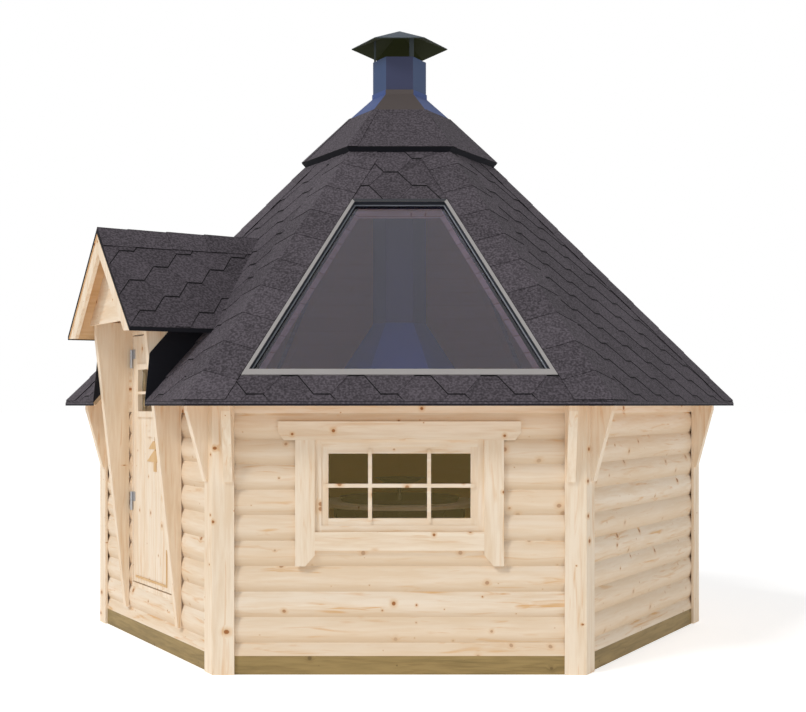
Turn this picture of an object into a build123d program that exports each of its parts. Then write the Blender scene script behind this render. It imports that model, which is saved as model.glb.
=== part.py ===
from build123d import *
import os
from math import atan, cos, radians, sin, sqrt, tan

os.makedirs("parts", exist_ok=True)

# Barbecue hut with six walls, in millimetres. The origin is on the ground at the middle of the
# plan, +Z is up, and the wall with the window faces -Y. A wall is drawn facing -Y, with x along
# it and y = -(distance out from the middle), and is then turned about Z to its own side.

# Plan and heights of the walls
HEX_SIDE = 1900.0  # side of the plan over the corner posts
BASE_BEAM_H = 95.0
BASE_BEAM_W = 70.0
LOG_PITCH = 130.0
LOG_THICKNESS = 45.0
LOG_ROUNDING = 17.0  # depth of the groove between two logs
FULL_LOGS = 9
EAVE_RISE = 42.0  # underside of the eave over the top log
POST_FACE = 110.0  # width of each of a corner post's two boards
POST_THICKNESS = 15.0  # boards nailed on the crests of the logs
FLOOR_THICKNESS = 28.0
JOIST_WIDTH = 45.0
JOIST_SPACING = 450.0
JOIST_COUNT = 7

# Main roof
CORNER_OVERHANG = 220.0  # top edge of the eave, out from a corner post
ROOF_HIP_SLOPE = 0.9763  # rise over run along a hip
ROOF_THICKNESS = 20.0
ROOF_TOP_R = 360.0  # corner radius where the panels end around the pipe
HIP_RAFTER_W = 50.0
HIP_RAFTER_H = 95.0
COLLAR_THICKNESS = 40.0
COLLAR_H = 130.0
COLLAR_LAP = 18.0  # how far the roof panels rest on the collar

# Crown, pipe and hat
CROWN_LOW_R = 620.0
CROWN_LIFT = 53.5  # top of the crown's lower edge over the main roof
CROWN_TOP_R = 318.0
CROWN_HIP_SLOPE = 0.923
CROWN_EDGE = 40.0  # thickness of the crown's edge, square to its slope
CROWN_BOARD = 20.0
BATTEN_WIDTH = 60.0
PIPE_R = 168.0
PIPE_WALL = 5.0
PIPE_REACH = 236.3  # over the top of the flashing
FLASHING_THICKNESS = 5.0
FLASHING_RISE = 126.0
FLASHING_COLLAR_H = 30.0
HAT_R = 304.0
HAT_GAP = 87.0  # from the pipe up to the hat's rim
HAT_RISE = 112.0
HAT_THICKNESS = 5.0
HAT_TIP_R = 3.0
STRAP_WIDTH = 30.0
STRAP_THICKNESS = 4.0
STRAP_LAP = 60.0  # length of a strap inside the pipe
HOOD_NECK_RISE = 510.0  # over the eave
HOOD_SLOPE = 1.53  # drop over run along a corner of the hood
HOOD_RIM_R = 500.0
HOOD_SKIRT = 80.0
HOOD_WALL = 5.0

# Skylight in the front slope
SKYLIGHT_FROM_EAVE = 119.0  # level distance from the eave to the lower edge
SKYLIGHT_RUN = 908.0  # level distance from the lower edge to the top
SKYLIGHT_INSET = 197.0  # from the hips, along the slope's width
SKYLIGHT_RAIL_W = 18.0
SKYLIGHT_FOOT_RAIL_W = 38.0
SKYLIGHT_PROUD = 10.0  # rails over the roof's surface
SKYLIGHT_RECESS = 30.0  # from the rails down to the glass
SKYLIGHT_GLASS = 12.0
TRIMMER_WIDTH = 45.0
TRIMMER_DEPTH = 70.0

# Window in the front wall
WINDOW_HALF_W = 430.0
WINDOW_DROP = 179.0  # top of the opening under the eave
WINDOW_H = 466.0
WINDOW_FRAME_W = 33.0
SASH_W = 35.0
SASH_DEPTH = 40.0
FRAME_DEPTH = 60.0
FRAME_SETBACK = 14.0  # behind the face of the boards round the window
SASH_SETBACK = 5.0  # behind the face of the frame
WINDOW_BAR_W = 20.0
WINDOW_BAR_X = 150.0
WINDOW_BAR_RISE = 235.0  # cross bar over the foot of the opening
WINDOW_BAR_DEPTH = 9.0
WINDOW_BAR_LAP = 22.0  # length of a bar's end on the sash
GLASS_THICKNESS = 6.0
CASING_THICKNESS = 20.0
CASING_W = 100.0
CASING_LEG = 174.0  # side boards below the opening
CASING_RAIL_H = 94.0
HEAD_BOARD_HALF_W = 617.0
HEAD_BOARD_H = 96.0
HEAD_CHAMFER_W = 30.0
HEAD_CHAMFER_H = 40.0
CASING_CHAMFER_W = 49.0
CASING_CHAMFER_H = 56.0

# Brackets under the eave
BRACKET_W = 46.0
BRACKET_FROM_CORNER = 81.0  # bracket's middle, from the wall's corner
BRACKET_DROP = 391.0
BRACKET_REACH = 112.0
BRACKET_NOSE = 30.0
BRACKET_FOOT = 13.0

# Dormer over the door
DORMER_RIDGE_RISE = 983.0  # over the eave
DORMER_REACH = 125.0  # in front of the cheeks' tops
DORMER_HALF_W = 575.0
DORMER_ROOF_THICKNESS = 20.0
BARGE_W = 75.0
BARGE_THICKNESS = 22.0
BARGE_SETBACK = 6.0
GABLE_PROUD = 22.0  # gable boards in front of the cheeks' tops
GABLE_THICKNESS = 20.0
GABLE_LOW_RISE = 63.0  # lower edge over the leaf's top
CHEEK_OUT = 465.0  # outer faces of the cheek boards, from the door's middle
CHEEK_THICKNESS = 45.0
CHEEK_FOOT_PROUD = 4.5  # foot in front of the corner posts' faces
CHEEK_FOOT_DROP = 124.0  # foot below the door frame
CHEEK_TOP_PROUD = 184.5
CHEEK_TOP_RISE = 5.0  # over the leaf's top
UPSTAND_THICKNESS = 5.0
UPSTAND_H = 234.0
UPSTAND_SETBACK = 20.0  # behind the cheeks' tops

# Door, frame and hinges
DOOR_THRESHOLD_H = 25.0
JAMB_W = 20.0
JAMB_DEPTH = 54.0
DOOR_SETBACK = 31.5  # leaf's face behind the corner posts' faces
LEAF_GAP = 8.0
LEAF_THICKNESS = 38.0
LEAF_TOP_RISE = 408.0  # over the eave
LEAF_BOARD_W = 96.0
LEAF_GROOVE = 5.0
DOOR_WINDOW_HALF_W = 270.0
DOOR_WINDOW_DROP = 200.0  # below the leaf's top
DOOR_WINDOW_H = 245.0
DOOR_CASING_W = 33.0
DOOR_CASING_THICKNESS = 12.0
DOOR_BAR_W = 16.0
DOOR_BAR_RISE = 108.0  # cross bar over the pane's foot
TREE_GAP = 4.0  # from the casing down to the tree's tip
TREE_H = 108.0
TREE_HALF_W = 140.0
TREE_TIERS = 3
TREE_TIER_LAP = 1.6  # height of a tier in steps of the tree
TREE_TAPER = 0.22  # how much narrower each tier is
TREE_TRUNK_HALF_W = 16.0
TREE_TRUNK_H = 25.0
TREE_THICKNESS = 12.0
HINGE_R = 9.0
HINGE_PIN_R = 4.0
HINGE_CLEARANCE = 0.5
HINGE_H = 110.0
HINGE_PLATE = 3.0
HINGE_LEAF_W = 45.0
HINGE_LOW_RISE = 477.0  # hinges' middles over the leaf's foot
HINGE_HIGH_RISE = 1324.0
HINGE_KNUCKLE_GAP = 1.0
HANDLE_S = 335.0
HANDLE_RISE = 687.0  # over the leaf's foot
HANDLE_R = 9.0
HANDLE_LENGTH = 180.0
HANDLE_PROJECTION = 45.0
HANDLE_FOOT_R = 16.0
HANDLE_POST_R = 7.2

# Grill in the middle
BOWL_R = 382.0
BOWL_RIM_Z = 794.0
BOWL_DEPTH = 150.0
BOWL_WALL = 6.0
STAND_R = 300.0
STAND_WALL = 6.0
TABLE_OUT_R = 520.0
TABLE_TOP_Z = 764.0
TABLE_THICKNESS = 22.0
TABLE_GAP = 0.5
ARM_COUNT = 6
ARM_W = 30.0
ARM_DROP = 60.0
PAN_R = 157.0
PAN_BASE_R = 94.2
PAN_TOP_Z = 912.0
PAN_DEPTH = 32.0
PAN_WALL = 5.0
PAN_STEM_R = 12.0

# Sizes that follow from the ones above
COS30 = cos(radians(30))
TAN30 = tan(radians(30))
WALL_T = HEX_SIDE * COS30  # corner posts' faces, out from the middle
LOG_CREST_T = WALL_T - POST_THICKNESS
WALL_IN_T = LOG_CREST_T - LOG_THICKNESS
LOGS_LOW_Z = BASE_BEAM_H + LOG_PITCH / 2
LOGS_TOP_Z = LOGS_LOW_Z + FULL_LOGS * LOG_PITCH
EAVE_Z = LOGS_TOP_Z + EAVE_RISE
ROOF_CORNER_R = HEX_SIDE + CORNER_OVERHANG
ROOF_SLOPE = ROOF_HIP_SLOPE / COS30
ROOF_EAVE_T = ROOF_CORNER_R * COS30
ROOF_EAVE_Z = EAVE_Z + ROOF_THICKNESS / sqrt(1 + ROOF_SLOPE ** 2)
ROOF_APEX_Z = ROOF_EAVE_Z + ROOF_HIP_SLOPE * ROOF_CORNER_R
CROWN_LOW_Z = ROOF_APEX_Z - ROOF_HIP_SLOPE * CROWN_LOW_R + CROWN_LIFT
CROWN_TOP_Z = CROWN_LOW_Z + (CROWN_LOW_R - CROWN_TOP_R) * CROWN_HIP_SLOPE
PIPE_TOP_Z = CROWN_TOP_Z + FLASHING_RISE + PIPE_REACH
HAT_RIM_Z = PIPE_TOP_Z + HAT_GAP
HOOD_NECK_Z = EAVE_Z + HOOD_NECK_RISE
SKYLIGHT_LOW_T = ROOF_EAVE_T - SKYLIGHT_FROM_EAVE
SKYLIGHT_TOP_T = SKYLIGHT_LOW_T - SKYLIGHT_RUN
GLASS_TOP_DEPTH = SKYLIGHT_RECESS - SKYLIGHT_PROUD  # under the roof's surface
GLASS_LOW_DEPTH = GLASS_TOP_DEPTH + SKYLIGHT_GLASS
WINDOW_TOP_Z = EAVE_Z - WINDOW_DROP
WINDOW_LOW_Z = WINDOW_TOP_Z - WINDOW_H
FRAME_FRONT_T = LOG_CREST_T + CASING_THICKNESS - FRAME_SETBACK
SASH_FRONT_T = FRAME_FRONT_T - SASH_SETBACK
SASH_BACK_T = SASH_FRONT_T - SASH_DEPTH
GLASS_FRONT_T = SASH_BACK_T + SASH_DEPTH / 2
DOOR_SIDE = 5
DOOR_LOW_Z = LOGS_LOW_Z + LOG_PITCH
LEAF_LOW_Z = DOOR_LOW_Z + DOOR_THRESHOLD_H + LEAF_GAP
LEAF_TOP_Z = EAVE_Z + LEAF_TOP_RISE
DOOR_FACE_T = WALL_T - DOOR_SETBACK
LEAF_BACK_T = DOOR_FACE_T - LEAF_THICKNESS
DOOR_WINDOW_TOP_Z = LEAF_TOP_Z - DOOR_WINDOW_DROP
DOOR_WINDOW_LOW_Z = DOOR_WINDOW_TOP_Z - DOOR_WINDOW_H
TREE_TOP_Z = DOOR_WINDOW_LOW_Z - DOOR_CASING_W - TREE_GAP
CHEEK_IN = CHEEK_OUT - CHEEK_THICKNESS
CHEEK_FOOT_T = WALL_T + CHEEK_FOOT_PROUD
CHEEK_FOOT_Z = DOOR_LOW_Z - CHEEK_FOOT_DROP
CHEEK_TOP_T = WALL_T + CHEEK_TOP_PROUD
CHEEK_TOP_Z = LEAF_TOP_Z + CHEEK_TOP_RISE
DORMER_RIDGE_Z = EAVE_Z + DORMER_RIDGE_RISE
DORMER_FRONT_T = CHEEK_TOP_T + DORMER_REACH
GABLE_T = CHEEK_TOP_T + GABLE_PROUD
GABLE_LOW_Z = LEAF_TOP_Z + GABLE_LOW_RISE
UPSTAND_FRONT_T = CHEEK_TOP_T - UPSTAND_SETBACK
HINGE_T = DOOR_FACE_T + HINGE_R
LEAF_HALF = CHEEK_IN - JAMB_W - LEAF_GAP
HINGE_S = -(CHEEK_IN - JAMB_W - LEAF_GAP / 2)  # over the gap beside the leaf
HINGE_Z = (LEAF_LOW_Z + HINGE_LOW_RISE, LEAF_LOW_Z + HINGE_HIGH_RISE)
HANDLE_Z = LEAF_LOW_Z + HANDLE_RISE


def roof_z(out):
    """Height of the main roof's top surface at a distance out from the middle."""
    return ROOF_EAVE_Z + (ROOF_EAVE_T - out) * ROOF_SLOPE


def plumb(thickness, slope):
    """Upright thickness of a slab laid at a slope."""
    return thickness * sqrt(1 + slope * slope)


def roof_under_z(out):
    """Height of the main roof's underside."""
    return roof_z(out) - plumb(ROOF_THICKNESS, ROOF_SLOPE)


def turned(shape, side):
    """The shape moved from the front wall to another side of the plan."""
    return shape.rotate(Axis.Z, 60 * side)


def polygon(points):
    """Flat face through the points."""
    return Face(Wire.make_polygon([Vector(*p) for p in points], close=True))


def swept(points, direction):
    """Solid made by moving a flat polygon in a straight line."""
    return Solid.extrude(polygon(points), Vector(*direction))


def along_wall(section, start, end):
    """Solid with a section of (out, z) points, from x = start to x = end."""
    return swept([(start, -out, z) for out, z in section], (end - start, 0, 0))


def board(outline, back, front):
    """Solid with an outline of (x, z) points, from one distance out to another."""
    return swept([(x, -back, z) for x, z in outline], (0, back - front, 0))


def block(x0, x1, back, front, z0, z1):
    """Straight block in a wall's own axes."""
    return board([(x0, z0), (x1, z0), (x1, z1), (x0, z1)], back, front)


def hull_of(lower, upper):
    """Solid between two polygons of as many corners."""
    wires = [Wire.make_polygon([Vector(*p) for p in ring], close=True) for ring in (lower, upper)]
    return Solid.make_loft(wires, ruled=True)


def hexagon(radius, z):
    """Corners of a hexagon with flat sides to the walls."""
    angles = [radians(60 * k) for k in range(6)]
    return [(radius * cos(a), radius * sin(a), z) for a in angles]


def hex_prism(side_out, z0, z1):
    """Upright hexagonal prism whose sides lie at a distance out from the middle."""
    return swept(hexagon(side_out / COS30, z0), (0, 0, z1 - z0))


def hex_shell(profile, wall):
    """Hexagonal tube: (corner radius, z) from the bottom up, with a wall of even width."""
    step = wall / COS30
    outer = [hull_of(hexagon(a[0], a[1]), hexagon(b[0], b[1])) for a, b in zip(profile, profile[1:])]
    inner = [
        hull_of(hexagon(a[0] - step, a[1]), hexagon(b[0] - step, b[1]))
        for a, b in zip(profile, profile[1:])
    ]
    return joined(outer) - joined(inner)


def wall_sector():
    """Space in front of the middle that one side of the plan takes, between its two mitres."""
    far = 2 * ROOF_CORNER_R
    half = far * TAN30
    return swept([(0, 0, 0), (-half, -far, 0), (half, -far, 0)], (0, 0, far))


def joined(solids):
    """All the solids as one."""
    first, *rest = solids
    return first.fuse(*rest) if rest else first


def under_roof():
    """Everything below the main roof's underside."""
    drop = plumb(ROOF_THICKNESS, ROOF_SLOPE)
    eave_z = ROOF_EAVE_Z - drop
    top_z = ROOF_APEX_Z - drop - ROOF_HIP_SLOPE * PIPE_R
    slopes = hull_of(hexagon(ROOF_CORNER_R, eave_z), hexagon(PIPE_R, top_z))
    return joined([hex_prism(ROOF_EAVE_T, 0, eave_z), slopes])


def save(name, shapes):
    """Writes one node of one or more solids that do not touch."""
    solids = [s for shape in shapes for s in shape.solids()]
    whole = solids[0] if len(solids) == 1 else Compound(children=solids)
    export_step(whole, f"parts/{name}.step")


# Base and floor


def base_frame():
    """Ring of treated beams under the walls."""
    inner = hex_prism(LOG_CREST_T - BASE_BEAM_W, 0, BASE_BEAM_H)
    return hex_prism(LOG_CREST_T, 0, BASE_BEAM_H) - inner


def floor_joists():
    """Bars across the plan that carry the floor."""
    inside = hex_prism(LOG_CREST_T - BASE_BEAM_W, 0, BASE_BEAM_H)
    first = -JOIST_SPACING * (JOIST_COUNT - 1) / 2
    half = JOIST_WIDTH / 2
    bars = []
    for k in range(JOIST_COUNT):
        y = first + JOIST_SPACING * k
        bars.append(block(-HEX_SIDE, HEX_SIDE, y - half, y + half, 0, BASE_BEAM_H) & inside)
    return bars


def floor_deck():
    """Floor inside the walls."""
    return hex_prism(WALL_IN_T, BASE_BEAM_H, BASE_BEAM_H + FLOOR_THICKNESS)


# Walls


def log_edge(z0, z1):
    """Rounded outer edge of one log."""
    groove = LOG_CREST_T - LOG_ROUNDING
    return Edge.make_three_point_arc((0, -groove, z0), (0, -LOG_CREST_T, (z0 + z1) / 2), (0, -groove, z1))


def half_log_edge(z0, z1):
    """Rounded outer edge of the upper half of a log."""
    groove = LOG_CREST_T - LOG_ROUNDING
    radius = ((z1 - z0) ** 2 + LOG_ROUNDING ** 2) / (2 * LOG_ROUNDING)
    middle = (z0 + z1) / 2
    bulge = LOG_CREST_T - radius + sqrt(radius ** 2 - (middle - z0) ** 2)
    return Edge.make_three_point_arc((0, -LOG_CREST_T, z0), (0, -bulge, middle), (0, -groove, z1))


def log_wall(start, end, first, count, half_log=False):
    """Stack of logs from x = start to x = end, from log number first."""
    low = LOGS_LOW_Z + first * LOG_PITCH
    edges = []
    z = low
    if half_log:
        z = BASE_BEAM_H
        edges.append(half_log_edge(z, LOGS_LOW_Z))
        z = LOGS_LOW_Z
    for _ in range(count):
        edges.append(log_edge(z, z + LOG_PITCH))
        z += LOG_PITCH
    foot = edges[0] @ 0
    head = edges[-1] @ 1
    back_foot = Vector(0, -WALL_IN_T, foot.Z)
    back_head = Vector(0, -WALL_IN_T, head.Z)
    sides = [
        Edge.make_line(head, back_head),
        Edge.make_line(back_head, back_foot),
        Edge.make_line(back_foot, foot),
    ]
    face = Face(Wire(edges + sides)).translate(Vector(start, 0, 0))
    return Solid.extrude(face, Vector(end - start, 0, 0)) & wall_sector()


def full_wall():
    """Plain wall of logs, mitred at both ends."""
    return log_wall(-HEX_SIDE, HEX_SIDE, 0, FULL_LOGS, half_log=True)


def front_wall():
    """Log wall with the window's opening cut through."""
    opening = block(
        -WINDOW_HALF_W, WINDOW_HALF_W, WALL_IN_T - LOG_THICKNESS, WALL_T, WINDOW_LOW_Z, WINDOW_TOP_Z
    )
    return full_wall() - opening


def door_wall_side(sign):
    """Logs between a corner and the door frame."""
    ends = sorted((sign * CHEEK_IN, sign * HEX_SIDE))
    return turned(log_wall(ends[0], ends[1], 1, FULL_LOGS - 1), DOOR_SIDE)


def door_sill_wall():
    """The logs under the door, along the whole side."""
    return turned(log_wall(-HEX_SIDE, HEX_SIDE, 0, 1, half_log=True), DOOR_SIDE)


def top_rails():
    """Boards on top of the logs, bevelled under the roof and open at the doorway."""
    section = [
        (WALL_IN_T, LOGS_TOP_Z),
        (LOG_CREST_T, LOGS_TOP_Z),
        (LOG_CREST_T, roof_under_z(LOG_CREST_T)),
        (WALL_IN_T, roof_under_z(WALL_IN_T)),
    ]
    rail = along_wall(section, -HEX_SIDE, HEX_SIDE) & wall_sector()
    doorway = turned(block(-CHEEK_IN, CHEEK_IN, 0, WALL_T, 0, DORMER_RIDGE_Z), DOOR_SIDE)
    light_well = skylight_slab(0, -2 * TRIMMER_DEPTH, ROOF_THICKNESS)
    return joined([turned(rail, side) for side in range(6)]) - doorway - light_well


def corner_posts():
    """Six pairs of boards that meet at 120 degrees over the ends of the logs."""
    half = HEX_SIDE / 2
    start = half - POST_FACE
    inner_half = LOG_CREST_T * TAN30
    wing = [
        (start, -WALL_T, 0),
        (half, -WALL_T, 0),
        (inner_half, -LOG_CREST_T, 0),
        (start, -LOG_CREST_T, 0),
    ]
    height = roof_z(LOG_CREST_T)
    right = swept(wing, (0, 0, height))
    left = turned(swept([(-x, y, z) for x, y, z in wing], (0, 0, height)), 1)
    post = joined([right, left]) & under_roof()
    return [turned(post, side) for side in range(6)]


def eave_brackets():
    """Shaped brackets on the posts that carry the eave."""
    outline = [
        (WALL_T, EAVE_Z - BRACKET_DROP),
        (WALL_T + BRACKET_FOOT, EAVE_Z - BRACKET_DROP),
        (WALL_T + BRACKET_REACH, EAVE_Z - BRACKET_NOSE),
        (WALL_T + BRACKET_REACH, roof_under_z(WALL_T + BRACKET_REACH)),
        (WALL_T, roof_under_z(WALL_T)),
    ]
    brackets = []
    for sign in (-1, 1):
        middle = sign * (HEX_SIDE / 2 - BRACKET_FROM_CORNER)
        one = along_wall(outline, middle - BRACKET_W / 2, middle + BRACKET_W / 2)
        brackets += [turned(one, side) for side in range(6)]
    return brackets


# Window


def window_casing():
    """Boards round the window: the head with cut corners and the rail below."""
    low = WINDOW_TOP_Z
    high = low + HEAD_BOARD_H
    w = HEAD_BOARD_HALF_W
    head = [
        (-w + HEAD_CHAMFER_W, low),
        (w - HEAD_CHAMFER_W, low),
        (w, low + HEAD_CHAMFER_H),
        (w, high),
        (-w, high),
        (-w, low + HEAD_CHAMFER_H),
    ]
    front = LOG_CREST_T + CASING_THICKNESS
    rail = block(
        -WINDOW_HALF_W, WINDOW_HALF_W, LOG_CREST_T, front, WINDOW_LOW_Z - CASING_RAIL_H, WINDOW_LOW_Z
    )
    return [board(head, LOG_CREST_T, front), rail]


def window_side_boards():
    """Upright boards beside the window with their inner feet cut off."""
    inner = WINDOW_HALF_W
    outer = inner + CASING_W
    low = WINDOW_LOW_Z - CASING_LEG
    outline = [
        (inner, WINDOW_TOP_Z),
        (outer, WINDOW_TOP_Z),
        (outer, low),
        (inner + CASING_CHAMFER_W, low),
        (inner, low + CASING_CHAMFER_H),
    ]
    front = LOG_CREST_T + CASING_THICKNESS
    mirrored = [(-x, z) for x, z in outline]
    return [board(outline, LOG_CREST_T, front), board(mirrored, LOG_CREST_T, front)]


def window_ring(out_margin, width, back, front):
    """Rectangular ring of four rails, set in from the opening's edge."""
    x1 = WINDOW_HALF_W - out_margin
    z0, z1 = WINDOW_LOW_Z + out_margin, WINDOW_TOP_Z - out_margin
    outer = block(-x1, x1, back, front, z0, z1)
    return outer - block(-x1 + width, x1 - width, back, front, z0 + width, z1 - width)


def window_frame():
    """Fixed frame in the wall's opening."""
    return window_ring(0, WINDOW_FRAME_W, FRAME_FRONT_T - FRAME_DEPTH, FRAME_FRONT_T)


def window_sash():
    """Sash that holds the pane."""
    return window_ring(WINDOW_FRAME_W, SASH_W, SASH_BACK_T, SASH_FRONT_T)


def window_glass():
    """Pane inside the sash."""
    margin = WINDOW_FRAME_W + SASH_W
    x1 = WINDOW_HALF_W - margin
    return block(
        -x1, x1, GLASS_FRONT_T - GLASS_THICKNESS, GLASS_FRONT_T, WINDOW_LOW_Z + margin, WINDOW_TOP_Z - margin
    )


def window_bars():
    """Two upright bars and one across, planted on the sash with rounded ends."""
    margin = WINDOW_FRAME_W + SASH_W
    half = WINDOW_BAR_W / 2
    front = SASH_FRONT_T + WINDOW_BAR_DEPTH
    lap = WINDOW_BAR_LAP - half
    x1 = WINDOW_HALF_W - margin + lap
    low = WINDOW_LOW_Z + margin - lap
    high = WINDOW_TOP_Z - margin + lap
    across_z = WINDOW_LOW_Z + WINDOW_BAR_RISE
    pieces = [block(-x1, x1, SASH_FRONT_T, front, across_z - half, across_z + half)]
    ends = [(-x1, across_z), (x1, across_z)]
    for x in (-WINDOW_BAR_X, WINDOW_BAR_X):
        pieces.append(block(x - half, x + half, SASH_FRONT_T, front, low, high))
        ends += [(x, low), (x, high)]
    for x, z in ends:
        plane = Plane((x, -SASH_FRONT_T, z), z_dir=(0, -1, 0))
        pieces.append(Solid.make_cylinder(half, WINDOW_BAR_DEPTH, plane))
    return joined(pieces)


# Main roof


def roof_panel():
    """One slope of the roof, mitred along the hips and cut square at the eave."""
    fall = ROOF_THICKNESS / sqrt(1 + ROOF_SLOPE ** 2)
    shift = fall * ROOF_SLOPE
    top_t = ROOF_TOP_R * COS30
    rings = []
    for inward, down in ((shift, fall), (0, 0)):
        low_t, high_t = ROOF_EAVE_T - inward, top_t - inward
        low_z, high_z = ROOF_EAVE_Z - down, roof_z(top_t) - down
        rings.append([
            (-low_t * TAN30, -low_t, low_z),
            (low_t * TAN30, -low_t, low_z),
            (high_t * TAN30, -high_t, high_z),
            (-high_t * TAN30, -high_t, high_z),
        ])
    return hull_of(*rings)


def skylight_outline(margin, foot_margin, lift):
    """Corners of the skylight on the slope, with its edges moved in by two margins."""
    side_step = margin / sin(atan(1 / TAN30))
    run = 1 / sqrt(1 + ROOF_SLOPE ** 2)
    low, top = SKYLIGHT_LOW_T - foot_margin * run, SKYLIGHT_TOP_T + margin * run
    points = []
    for sign, out in ((-1, low), (1, low), (1, top), (-1, top)):
        half = out * TAN30 - SKYLIGHT_INSET - side_step
        points.append((sign * half, out, lift))
    return points


def on_slope(points):
    """Points (x, out, lift) placed at a height square to the main roof's surface."""
    length = sqrt(1 + ROOF_SLOPE ** 2)
    placed = []
    for x, out, lift in points:
        y = -(out + lift * ROOF_SLOPE / length)
        placed.append((x, y, roof_z(out) + lift / length))
    return placed


def skylight_slab(margin, low, high, foot_margin=None):
    """Slab with the skylight's outline between two heights over the slope."""
    foot = margin if foot_margin is None else foot_margin
    lower = on_slope(skylight_outline(margin, foot, low))
    return hull_of(lower, on_slope(skylight_outline(margin, foot, high)))


def front_roof_panel():
    """Front slope with the skylight's opening."""
    return roof_panel() - skylight_slab(0, -3 * ROOF_THICKNESS, 3 * ROOF_THICKNESS)


def door_roof_panel():
    """Slope over the door, cut back between the cheek boards."""
    back_t = dormer_meets_roof_t(CHEEK_OUT)
    notch = block(-CHEEK_OUT, CHEEK_OUT, back_t, ROOF_CORNER_R, 0, DORMER_RIDGE_Z)
    return turned(roof_panel() - notch, DOOR_SIDE)


def skylight_frame():
    """Metal rails round the glass, wider at the foot."""
    deep = -GLASS_LOW_DEPTH
    outer = skylight_slab(0, deep, SKYLIGHT_PROUD)
    return outer - skylight_slab(SKYLIGHT_RAIL_W, 2 * deep, 2 * SKYLIGHT_PROUD, SKYLIGHT_FOOT_RAIL_W)


def skylight_glass():
    """Pane sunk between the rails, on the trimmers."""
    return skylight_slab(SKYLIGHT_RAIL_W, -GLASS_LOW_DEPTH, -GLASS_TOP_DEPTH, SKYLIGHT_FOOT_RAIL_W)


def skylight_trimmers():
    """Timber round the opening under the rails and the glass."""
    low = -GLASS_LOW_DEPTH - TRIMMER_DEPTH
    return skylight_slab(0, low, -GLASS_LOW_DEPTH) - skylight_slab(TRIMMER_WIDTH, 2 * low, ROOF_THICKNESS)


def hip_rafters():
    """Rafters under the hips, from the posts to the collar."""
    under = under_roof()
    half = HIP_RAFTER_W / 2
    apex = ROOF_APEX_Z - plumb(ROOF_THICKNESS, ROOF_SLOPE)
    far = ROOF_CORNER_R
    section = [
        (0, -half, apex),
        (far, -half, apex - ROOF_HIP_SLOPE * far),
        (far, -half, apex - ROOF_HIP_SLOPE * far - HIP_RAFTER_H),
        (0, -half, apex - HIP_RAFTER_H),
    ]
    bar = swept(section, (0, HIP_RAFTER_W, 0))
    bar = (bar & under & hex_prism(WALL_IN_T, 0, apex)) - hex_prism(collar_out_t(), 0, apex)
    return [turned(bar, side) for side in range(6)]


def collar_out_t():
    """Outer face of the collar round the smoke opening."""
    return ROOF_TOP_R * COS30 + COLLAR_LAP


def roof_collar():
    """Timber ring that the roof's slopes lean on at the top."""
    out = collar_out_t()
    inner = out - COLLAR_THICKNESS
    top = roof_under_z(inner)
    ring = hex_prism(out, roof_under_z(out) - COLLAR_H, top) - hex_prism(inner, 0, 2 * top)
    return ring & under_roof()


# Crown, flashing, pipe, hat and hood


def crown_z(radius):
    """Height of the crown's top surface along a hip."""
    return CROWN_LOW_Z + (CROWN_LOW_R - radius) * CROWN_HIP_SLOPE


def crown_band(low_r, high_r, top_depth, low_depth):
    """Hexagonal ring along the crown's slope between two depths under its top surface."""
    length = sqrt(1 + CROWN_HIP_SLOPE ** 2)
    rings = []
    for depth in (low_depth, top_depth):
        inward, down = depth * CROWN_HIP_SLOPE / length, depth / length
        rings.append((low_r - inward, crown_z(low_r) - down, high_r - inward, crown_z(high_r) - down))
    lower, upper = rings
    solid = joined([
        hull_of(hexagon(lower[0], lower[1]), hexagon(upper[0], upper[1])),
        hull_of(hexagon(upper[0], upper[1]), hexagon(upper[2], upper[3])),
    ])
    hollow = joined([
        hull_of(hexagon(lower[0], lower[1]), hexagon(lower[2], lower[3])),
        hex_prism(lower[2] * COS30, lower[3], upper[3] * 2),
    ])
    return solid - hollow


def crown_roof():
    """Upper roof round the pipe."""
    return crown_band(CROWN_LOW_R, CROWN_TOP_R, 0, CROWN_BOARD)


def crown_battens():
    """Edge strips between the crown and the main roof."""
    length = sqrt(1 + CROWN_HIP_SLOPE ** 2)
    run = BATTEN_WIDTH / length
    band = crown_band(CROWN_LOW_R, CROWN_LOW_R - run, CROWN_BOARD, 2 * CROWN_EDGE)
    top = hexagon(PIPE_R, ROOF_APEX_Z - ROOF_HIP_SLOPE * PIPE_R)
    main = hull_of(hexagon(ROOF_CORNER_R, ROOF_EAVE_Z), top)
    return band - main


def crown_flashing():
    """Sheet metal skirt from the crown up to the pipe, with a short sleeve."""
    pipe_out = PIPE_R + FLASHING_THICKNESS / COS30
    top_z = CROWN_TOP_Z + FLASHING_RISE
    profile = [(CROWN_TOP_R, CROWN_TOP_Z), (pipe_out, top_z), (pipe_out, top_z + FLASHING_COLLAR_H)]
    return hex_shell(profile, FLASHING_THICKNESS)


def chimney_pipe():
    """Hexagonal pipe from the hood up through the roof."""
    return hex_shell([(PIPE_R, HOOD_NECK_Z), (PIPE_R, PIPE_TOP_Z)], PIPE_WALL)


def chimney_hat():
    """Thin hexagonal hat over the pipe."""
    apex = HAT_RIM_Z + HAT_RISE
    outer = hull_of(hexagon(HAT_R, HAT_RIM_Z), hexagon(HAT_TIP_R, apex))
    inner = hull_of(hexagon(HAT_R, HAT_RIM_Z - HAT_THICKNESS), hexagon(HAT_TIP_R, apex - HAT_THICKNESS))
    rim = hull_of(hexagon(HAT_R, HAT_RIM_Z - HAT_THICKNESS), hexagon(HAT_R, HAT_RIM_Z))
    return joined([outer, rim]) - inner


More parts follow.
